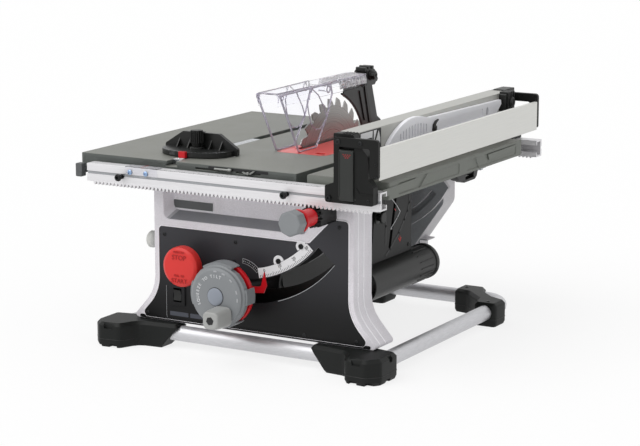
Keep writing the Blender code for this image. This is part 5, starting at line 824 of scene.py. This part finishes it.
# painted light: white plates stand in for the bright backdrop seen through the window
buildPiece("windowBackdropPlates", "white_scale", "rail_carriage",
           [(addSlab, outline, *layer(head["beamFace"], 0.8, 1.5), "X") for outline in head["plates"]], 0.15)
flip = {"face": -58.3, "height": 1.6, "socket": 0.45,
        "screws": ((248, 423.5, 4.8), (290.2, 423.5, 4), (320.3, 390.2, 2.5),
                   (320.3, 369.1, 2.5))}
buildPiece("flipArmScrews", "blackSteel", "flip_fence",
           [(addScrew, (x, flip["face"], z), frontward, r, flip["height"], flip["socket"])
            for x, z, r in flip["screws"]])

# push stick clip and the catch block at the beam's far end
clip = {
    "x": (271.2, 282.2), "button": (282.2, 232.8, 409),
    "outline": [(225.5, 406), (233, 403), (240.5, 406), (240.5, 412.5), (236, 415), (240, 419), (247.5, 422.5),
                (247, 424.5), (236, 422.5), (228.5, 417)],
    "buttonProfile": [(0, 1.4), (3.4, 1.4), (4.2, 0.6), (4.2, -0.4), (0, -0.4)],
}
buildPiece("stickClip", "black_moulding", "push_stick",
           [(addSlab, clip["outline"], *clip["x"], "X"),
            (addTurned, clip["button"], rightward, clip["buttonProfile"], 16)], 0.4)
catch = {
    "block": (520, 402, 553, 436, 3), "blockX": (271.2, 286), "ribs": 4, "ribY": 524, "ribStep": 7.5, "ribWide": 4,
    "ribZ": (406, 439.5), "ribRound": 1, "ribX": (270.5, 289.5), "knob": (286, 537, 419),
    "tail": (556, 428, 600, 438.5, 2), "tailX": (242, 266),
    "knobProfile": [(0, -1), (9.5, -1), (9.5, 6), (8, 7.8), (3.5, 8.2), (3, 6), (0, 6)],
}
low, high = catch["ribZ"]
ribYs = [catch["ribY"] + catch["ribStep"] * k for k in range(catch["ribs"])]
buildPiece("beamRearCatch", "black_moulding", "rail_carriage",
           [(addSlab, panel(*catch["block"]), *catch["blockX"], "X")]
           + [(addSlab, panel(y, low, y + catch["ribWide"], high, catch["ribRound"]), *catch["ribX"], "X")
              for y in ribYs]
           + [(addTurned, catch["knob"], rightward, catch["knobProfile"], 18),
              (addSlab, panel(*catch["tail"]), *catch["tailX"], "X")], 0.5)
print("fence fitted")

# riving knife: rolled black rim along the blade, two pressed ribs, and the clamp head with its knobs and catch
knife = {
    "rimPath": 136.2, "rimDegrees": range(27, 73, 3), "rimR": 2.2, "ribDepth": (1, 3.4),
    "ribs": ([(480, 438.5), (487.5, 438.5), (512, 364), (507.5, 361), (501.5, 364)],
             [(461, 430), (465.5, 430), (488, 372), (484.5, 369), (481, 372)]), "knobFace": 11.9, "knob": (490, 458),
    "grips": 6, "gripPlace": 7.8, "gripR": 1.6, "gripDepth": (14.5, 21.2),
    "knobProfile": [(0, 0), (10.5, 0), (10.5, 2.4), (7.8, 3.2), (7.8, 9.8), (6.6, 10.8), (3, 10.8), (2.4, 9), (0, 9)],
    "humps": ((473, 474.5), (486, 476.2), (500, 475.2)), "humpHalf": 4, "humpLow": 465, "humpRound": 2.2,
    "humpX": (-10.5, 10.5), "catchX": (-8.5, 8.5),
    "catch": [(508, 440), (522.5, 443), (525, 448), (521.5, 452), (509, 451)],
}
rimAngles = [math.radians(a) for a in knife["rimDegrees"]]
rimPath = [(0.0, bladeY + knife["rimPath"] * math.cos(a), bladeZ + knife["rimPath"] * math.sin(a)) for a in rimAngles]
buildPiece("knifeRimAndRibs", "black_moulding", "cradle",
           [(addTube, rimPath, knife["rimR"], 10)]
           + [(addSlab, rib, *span(0, side, *knife["ribDepth"]), "X")
              for side in (-1, 1) for rib in knife["ribs"]], 0.3)
clamp = []
for side in (-1, 1):
    clamp.append((addTurned, (side * knife["knobFace"], *knife["knob"]), (side, 0, 0), knife["knobProfile"], 18))
    clamp += [(addSlab, disc(u, v, knife["gripR"], 8), *span(0, side, *knife["gripDepth"]), "X")
              for u, v in disc(*knife["knob"], knife["gripPlace"], knife["grips"])]
for y, rise in knife["humps"]:
    hump = panel(y - knife["humpHalf"], knife["humpLow"], y + knife["humpHalf"], rise, knife["humpRound"], 3)
    clamp.append((addSlab, hump, *knife["humpX"], "X"))
clamp.append((addSlab, knife["catch"], *knife["catchX"], "X"))
buildPiece("knifeClampHead", "black_moulding", "cradle", clamp, 0.4)

# blade guard: moulded edge beads round both shields and the bar, the U-shaped stiffeners, pivot bosses, crinkled cover
guard = {
    "face": 23.9, "bead": 2, "thin": 1.2, "bossFace": 25.4,
    "outline": [(127, 462), (194, 351.2), (256, 351.2), (296, 402), (316, 444), (310, 464), (127, 462)],
    "stiffener": [(234.7, 460), (224, 440.6), (229, 420), (236, 401.1), (245, 390), (256, 384), (268, 383.2),
                  (280, 388), (296, 402)], "leaf": [(296, 402), (287, 420), (265.1, 446.8), (242, 461)],
    "bosses": ((133, 457.5, 4.6), (300, 454, 7.5), (234.7, 459, 4)),
    "bossProfile": ((1, -0.4), (1, 0.9), (0.86, 1.4), (0.62, 1), (0.62, -0.4)),  # radii in shares
    "barHalf": 21.5, "barLow": 449, "barHigh": 465.5, "barRound": 4, "barY": (126.2, 454), "barEnd": 0.8,
    "barEdge": 0.7, "edgeIn": 1.5,
}
for name, side in (("left_shield", -1), ("right_shield", 1)):
    lines = ((guard["outline"], guard["bead"]), (guard["stiffener"], guard["thin"]), (guard["leaf"], guard["thin"]))
    beads = [(addTube, [(side * guard["face"], y, z) for y, z in points], r, 8) for points, r in lines]
    beads += [(addTurned, (side * guard["bossFace"], y, z), (side, 0, 0),
               [(r * share, along) for share, along in guard["bossProfile"]], 20, True) for y, z, r in guard["bosses"]]
    buildPiece(name + "Beads", "lilacEdge", name, beads)
half, low, high, bend = guard["barHalf"], guard["barLow"], guard["barHigh"], guard["barRound"]
near, far = guard["barY"]
edgeX, edgeZ = half - guard["edgeIn"], high - guard["barEnd"]
barBeads = []
for side in (-1, 1):
    end = ((side * half, low), (side * half, high - bend), (side * (half - bend), high), (0, high))
    barBeads += [(addTube, [(x, near, z) for x, z in end], guard["barEnd"], 8),
                 (addTube, [(side * edgeX, y, edgeZ) for y in (near, far)], guard["barEdge"], 6)]
buildPiece("guardBarBeads", "lilacEdge", "cradle", barBeads)
cover = {"rows": 26, "columns": 12, "y": (346, 463.2), "low": 447.5, "wide": 23.6, "tall": 18.5, "square": 0.55,
         "crinkle": 1.1, "endRows": 3, "endReach": 3.4, "endLeast": 0.05, "thick": 0.8}
crinkled = bmesh.new()
lattice = []
for k in range(cover["rows"] + 1):
    y = cover["y"][0] + (cover["y"][1] - cover["y"][0]) * k / cover["rows"]
    into = max(k - cover["rows"] + cover["endRows"], 0)  # the far end rounds off over its last rows
    squeeze = math.sqrt(max(1 - (into / cover["endReach"]) ** 2, cover["endLeast"]))
    lattice.append([])
    for n in range(cover["columns"] + 1):
        t = math.pi * n / cover["columns"]
        wobble = cover["crinkle"] * math.sin(2.3 * k + 1.7 * n) * math.sin(1.1 * k - 2.9 * n)  # uneven facets
        wide, tall = (cover["wide"] + wobble) * squeeze, cover["tall"] + wobble
        x = -wide * abs(math.cos(t)) ** cover["square"] * (1 if math.cos(t) > 0 else -1)
        z = cover["low"] + tall * squeeze * abs(math.sin(t)) ** cover["square"]
        lattice[k].append(crinkled.verts.new(metres((x, y, z))))
for here, ahead in zip(lattice, lattice[1:]):
    for n in range(cover["columns"]):
        crinkled.faces.new((here[n], here[n + 1], ahead[n + 1], ahead[n]))
bmesh.ops.solidify(crinkled, geom=crinkled.faces[:], thickness=cover["thick"] * mm)
addPiece("guardCrinkledCover", crinkled, "crinkled", "cradle", 0.0, 20)
print("guard fitted")

# storage panel: blade slots, line marks showing where each tool hangs, screws and the blade's post
storage = {
    "face": 207, "grooveHalf": 1.9, "lineHalf": 0.55, "redHalf": 0.8, "screw": (3.6, 1.4),
    "grooves": ([(186, 290), (188.5, 262), (189.5, 232), (189, 199.5)],
                [(281, 292), (280.1, 260.7), (273, 246), (260.6, 232), (240, 211), (206, 187.3), (190, 178)],
                [(90, 300), (90, 262)], [(130, 300), (130, 232)]),
    "lines": ([(212.3, 278), (230, 264), (244.4, 250), (233, 240), (212.3, 226.8)], [(206, 285), (216, 289)],
              [(223, 290), (231, 285)], [(238, 292.5), (242, 287)], [(208.5, 223), (210.5, 226.2), (212.5, 223)]),
    "red": ([(239, 201), (244.4, 194), (248, 201)], [(244.4, 194), (244.4, 204)], [(185, 246.5), (185, 242)],
            [(223, 258), (226, 255)]), "screws": ((70, 300), (70, 183), (278, 301), (278, 183)), "post": (155, 255),
    "postProfile": [(0, -0.5), (12, -0.5), (12, 3), (7, 3.6), (7, 10), (10.5, 10.6), (10.5, 14), (9, 15.2), (0, 15.2)],
}
for name, ink, slotName, strokes, half, proud in (
        ("storageGrooves", "blackInk", "storage_moulding", "grooves", "grooveHalf", 0.4),
        ("storageLineMarks", "paleInk", "white_scale", "lines", "lineHalf", 0.3),
        ("storageRedMarks", "redInk", "red_moulding", "red", "redHalf", 0.3)):
    buildPiece(name, ink, "base",
               [(addStroke, points, storage[half], *layer(storage["face"], -0.2, proud), "X")
                for points in storage[strokes]])
buildPiece("storageScrewsAndPost", "black_moulding", "base",
           [(addScrew, (storage["face"], *spot), rightward, *storage["screw"]) for spot in storage["screws"]]
           + [(addTurned, (storage["face"], *storage["post"]), rightward, storage["postProfile"], 24)], 0.2)

# dust tube: lengthwise grip ribs near the outlet and its rolled end ring
dust = {"x": 203, "z": 138.5, "r": 31.8, "ribs": 16, "ribProud": 0.2, "ribR": 1.1, "ribY": (279, 328),
        "ringY": 338, "ring": ((-1, 0), (1.4, 0.6), (1.8, 3), (1.8, 9.5), (0.8, 11.6),
                                  (-1, 11.8))}
buildPiece("dustTubeRibs", "dust_tube_moulding", "base",
           [(addTube, [(x, y, z) for y in dust["ribY"]], dust["ribR"], 6)
            for x, z in disc(dust["x"], dust["z"], dust["r"] + dust["ribProud"], dust["ribs"])]
           + [(addTurned, (dust["x"], dust["ringY"], dust["z"]), rearward,
               [(dust["r"] + out, along) for out, along in dust["ring"]], 48, True)])

# extension table: raised fields along its side, the slanted joint lines and the catch underneath
extension = {
    "face": 313,
    "fields": ([(-20, 341.2), (102, 343.2), (90.5, 328.5), (-20, 329)],
               [(386, 342.5), (508, 344), (500, 334.5), (391, 331.5)]),
    "joints": ([(143.2, 344), (114, 324)], [(336.3, 344), (349.1, 324)]), "jointHalf": 0.8,
    "catch": ([(264, 320.5), (301, 320.5), (301, 307), (290, 306), (276, 310)],
              [(335, 320.5), (353, 320.5), (348, 309), (335, 306)],
              [(290, 308), (348, 309), (340, 304), (296, 303.5)]), "catchX": (293, 310),
    "bridge": (301, 316.5, 335, 320.5, 1), "bridgeX": (295, 308),
    "pawl": [(305, 310), (317, 314), (329, 311.5), (318, 312.2)], "pawlX": (299, 304),
}
face = extension["face"]
buildPiece("extensionSideFields", "extension_coat", "rail_carriage",
           [(addSlab, outline, *layer(face, -0.2, 1.2), "X") for outline in extension["fields"]]
           + [(addStroke, points, extension["jointHalf"], *layer(face, -0.2, 0.8), "X")
              for points in extension["joints"]], 0.3)
buildPiece("extensionCatch", "black_moulding", "rail_carriage",
           [(addSlab, outline, *extension["catchX"], "X") for outline in extension["catch"]]
           + [(addSlab, panel(*extension["bridge"]), *extension["bridgeX"], "X")], 0.5)
buildPiece("extensionCatchPawl", "dullSteel", "rail_carriage",
           [(addSlab, extension["pawl"], *extension["pawlX"], "X")], 0.2)
print("right side fitted")

# feet: mould seam round each foot and the rear feet's top screws
seam = {
    "z": 15, "r": 0.5, "behindY": 6, "behindU": 20, "rearY": 550, "screw": (3.6, 1), "screwZ": 46,
    "screws": ((-88, 0.0), (0.0, -88)),
    "front": [(27, -16, 12), (27, 46, 10), (-20, 56, 10), (-40, 50, 20), (-52, 4, 20), (-36, -34, 12), (8, -38, 12)],
    "rear": [(-105, -23, 8), (-72, -30, 20), (-30, -72, 20), (-23, -105, 8), (23, -105, 8), (23, -58, 8),
             (-10, -42, 12), (-42, -10, 12), (-58, 23, 8), (-105, 23, 8)],
}
seams, footScrews = [], []
for name in ("left", "right"):
    x, side = feet[name]
    for end, y in (("front", 0.0), ("rear", seam["rearY"])):
        placed = [(x + side * u, y + v, r) for u, v, r in seam[end]]
        path = [(u, v, seam["z"]) for u, v in roundOutline(placed if side > 0 else placed[::-1])]
        runs = [[]]
        for spot in path + path[:1]:  # no seam where a front foot runs in under the panel
            if end == "front" and spot[1] > seam["behindY"] and side * (spot[0] - x) < seam["behindU"]:
                runs.append([])
            else:
                runs[-1].append(spot)
        seams += [(addTube, run, seam["r"], 6) for run in runs if len(run) > 1]
    footScrews += [(addScrew, (x + side * u, seam["rearY"] + v, seam["screwZ"]), upward, *seam["screw"])
                   for u, v in seam["screws"]]
buildPiece("footSeams", "blackInk", "base", seams)
buildPiece("footScrews", "blackSteel", "base", footScrews)

# front panel: plain plate in the pocket, bead round the control panel, flank ridges, switch well, hook, and a black
# sheet behind the wheel slot that paints the shade inside
front = {
    "floor": 52, "plate": (-156.5, 254, -70.5, 271), "plateRim": 1, "rimRound": 2.2, "plateRound": 1.4, "beadY": 30,
    "beadR": 1, "ridgeY": (46, 66), "ridgeZ": (52, 309),
    "control": [(-219.79, 50.3, 8), (264.79, 50.3, 8), (220.5, 100.4, 79.5), (220.5, 270, 8), (187, 270, 6),
                (141, 224, 6), (-175.5, 224, 8), (-175.5, 100.4, 79.5)],
    "shell": [(-236, 46.3, 6), (281, 46.3, 6), (230, 104, 70), (230, 317.7, 10), (-185, 317.7, 10), (-185, 104, 70)],
    "strip": (-219, 47.4, 264, 53.5, 3), "stripY": (29.1, 30.4), "well": (-176, 58, -114, 123, 4), "wellY": (56, 57.5),
    "hook": (-184.8, 56, 190),
    "hookProfile": [(0, -1), (8.5, -1), (8.5, 12), (14, 15), (15.8, 18.5), (15.8, 24), (13, 27.5), (7, 28.8), (0, 29)],
    "slotShade": (234.5, 264, -14, 52, 26), "slotShadeY": (88, 89.5),
}
x0, z0, x1, z1 = front["plate"]
inset = front["plateRim"]
buildPiece("pocketPlateRim", "white_scale", "base",
           [(addSlab, panel(x0, z0, x1, z1, front["rimRound"]), *layer(front["floor"], -0.8, 0.4))], 0.2)
buildPiece("pocketPlate", "endGrey", "base",
           [(addSlab, panel(x0 + inset, z0 + inset, x1 - inset, z1 - inset, front["plateRound"]),
             *layer(front["floor"], -1.2, 0.0))], 0.2)
# painted highlight: the bead round the control panel is painted paler than the panel
path = [(u, front["beadY"], v) for u, v in roundOutline(front["control"], 8)]
buildPiece("controlBead", "panelBead", "base",
           [(addTube, path + path[:1], front["beadR"], 8)])
# painted highlight: the flank ridges are painted paler than the panel
low, high = front["ridgeZ"]
flank = sorted((p for p in roundOutline(front["shell"], 10) if low < p[1] < high), key=lambda p: p[1])
buildPiece("panelFlankRidges", "panelBead", "base",
           [(addTube, [(u, y, v) for u, v in flank if side * u > 0], front["beadR"], 8)
            for side in (-1, 1) for y in front["ridgeY"]])
buildPiece("controlLowerStrip", "control_moulding", "base",
           [(addSlab, panel(*front["strip"]), *front["stripY"])], 0.2)
buildPiece("switchWell", "black_moulding", "base",
           [(addSlab, panel(*front["well"]), *front["wellY"])])
buildPiece("sideHook", "hookGrey", "base",
           [(addTurned, front["hook"], leftward, front["hookProfile"], 28)])
# painted shade: a black sheet behind the wheel slot stands in for the shade inside the base
buildPiece("wheelSlotShadeSheet", "black_moulding", "base",
           [(addSlab, arcBand(0, topZ, *front["slotShade"]), *front["slotShadeY"])])
print("feet and front fitted")

# rear panel: stiffening ribs across its dish and the screws at its rim; side panel and throat plate screws
back = {
    "floor": 510, "sunk": 0.3, "uprightY": 545, "levelY": 541, "upright": (-110, -55, 55, 110), "level": (140, 220),
    "half": 1.3, "low": 70, "high": 300, "wide": 128, "screw": (4.6, 2.6),
    "screws": ((-118, 85), (118, 85), (-118, 290), (118, 290)),
}
foot, half, wide = back["floor"] - back["sunk"], back["half"], back["wide"]
buildPiece("rearPanelRibs", "rear_panel_paint", "base",
           [(addSlab, panel(x - half, back["low"], x + half, back["high"]), foot, back["uprightY"])
            for x in back["upright"]]
           + [(addSlab, panel(-wide, z - half, wide, z + half), foot, back["levelY"]) for z in back["level"]], 0.3)
buildPiece("rearPanelScrews", "blackSteel", "base",
           [(addScrew, (x, back["floor"], z), rearward, *back["screw"]) for x, z in back["screws"]])
sides = {"face": (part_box("left_side_panel")[0][0] - sawOrigin.x) / mm, "y": (75, 300, 525), "z": (162, 300),
         "screw": (4, 1.6)}
buildPiece("sidePanelScrews", "blackSteel", "base",
           [(addScrew, (sides["face"], y, z), leftward, *sides["screw"]) for y in sides["y"] for z in sides["z"]])
throat = {"spots": ((-14.5, 190.5), (77, 190.5), (-14.5, 552), (77, 552)),
          "profile": [(0, -0.6), (1.3, -0.6), (1.3, 0.1), (3, 0.1), (3, -1), (0, -1)]}
buildPiece("throatLevelScrews", "blackSteel", "base",
           [(addTurned, (x, y, topZ), upward, throat["profile"], 18) for x, y in throat["spots"]])
print("back and top fitted")

# camera at the photograph's viewing angle, placed in metres
camera = {"place": (1.98103, -3.39199, 0.99758), "down": 11.41005, "turn": 29.91687, "lens": 120.567, "sensor": 36.0,
          "clipEnd": 200.0}
eye = bpy.data.objects.new("camera", bpy.data.cameras.new("camera"))
eye.data.lens = camera["lens"]
eye.data.sensor_width = camera["sensor"]
eye.data.clip_end = camera["clipEnd"]
eye.location = camera["place"]
eye.rotation_euler = (math.radians(90 - camera["down"]), 0.0, math.radians(camera["turn"]))
bpy.context.scene.collection.objects.link(eye)
bpy.context.scene.camera = eye

# soft white studio: an even dome, one broad high lamp, and a white floor (in metres) that keeps the contact shadow
studio = {"dome": 0.62, "lamp": 1.45, "lampSpread": 55, "lampTilt": (38, 0, -28), "floor": "#ffffff", "floorSize": 60.0,
          "glow": 0.8}
white = (1, 1, 1, 1)
world = bpy.data.worlds.new("studio")
bpy.context.scene.world = world
world.use_nodes = True


def seenDirectly(tree):
    path = addNode(tree, "LightPath").outputs
    seen = addNode(tree, "Math", {"operation": "MAXIMUM"}, {0: path["Is Camera Ray"], 1: path["Is Glossy Ray"]})
    return addNode(tree, "Math", {"operation": "MAXIMUM"},
                   {0: seen.outputs["Value"], 1: path["Is Transmission Ray"]}).outputs["Value"]


tree = world.node_tree
tree.nodes.clear()
level = addNode(tree, "MapRange", {"To Min": studio["dome"], "To Max": 1.0}, {"Value": seenDirectly(tree)})
dome = addNode(tree, "Background", {"Color": white}, {"Strength": level.outputs["Result"]})
addNode(tree, "OutputWorld", links={"Surface": dome.outputs["Background"]})

lamp = bpy.data.objects.new("lamp", bpy.data.lights.new("lamp", "SUN"))
lamp.data.energy = studio["lamp"]
lamp.data.angle = math.radians(studio["lampSpread"])
lamp.rotation_euler = [math.radians(a) for a in studio["lampTilt"]]
bpy.context.scene.collection.objects.link(lamp)

sheet = bmesh.new()
bmesh.ops.create_grid(sheet, x_segments=1, y_segments=1, size=studio["floorSize"] / 2)
floor = bpy.data.objects.new("floor", meshFrom(sheet, "floor"))
bpy.context.scene.collection.objects.link(floor)
paper, tree, shader = startMaterial("paperSweepMatt", Roughness=0.9, Specular_IOR_Level=0.0,
                                    Base_Color=linear(studio["floor"]))
share = addNode(tree, "Math", {"operation": "MULTIPLY", 1: studio["glow"]}, {0: seenDirectly(tree)})
glow = addNode(tree, "Emission", {"Color": white, "Strength": 1.0})
both = addNode(tree, "MixShader",
               links={0: share.outputs["Value"], 1: shader.outputs["BSDF"], 2: glow.outputs["Emission"]})
tree.links.new(both.outputs["Shader"], tree.nodes["Material Output"].inputs["Surface"])
floor.data.materials.append(paper)

bpy.context.scene.view_settings.view_transform = "Standard"
print("studio lit")
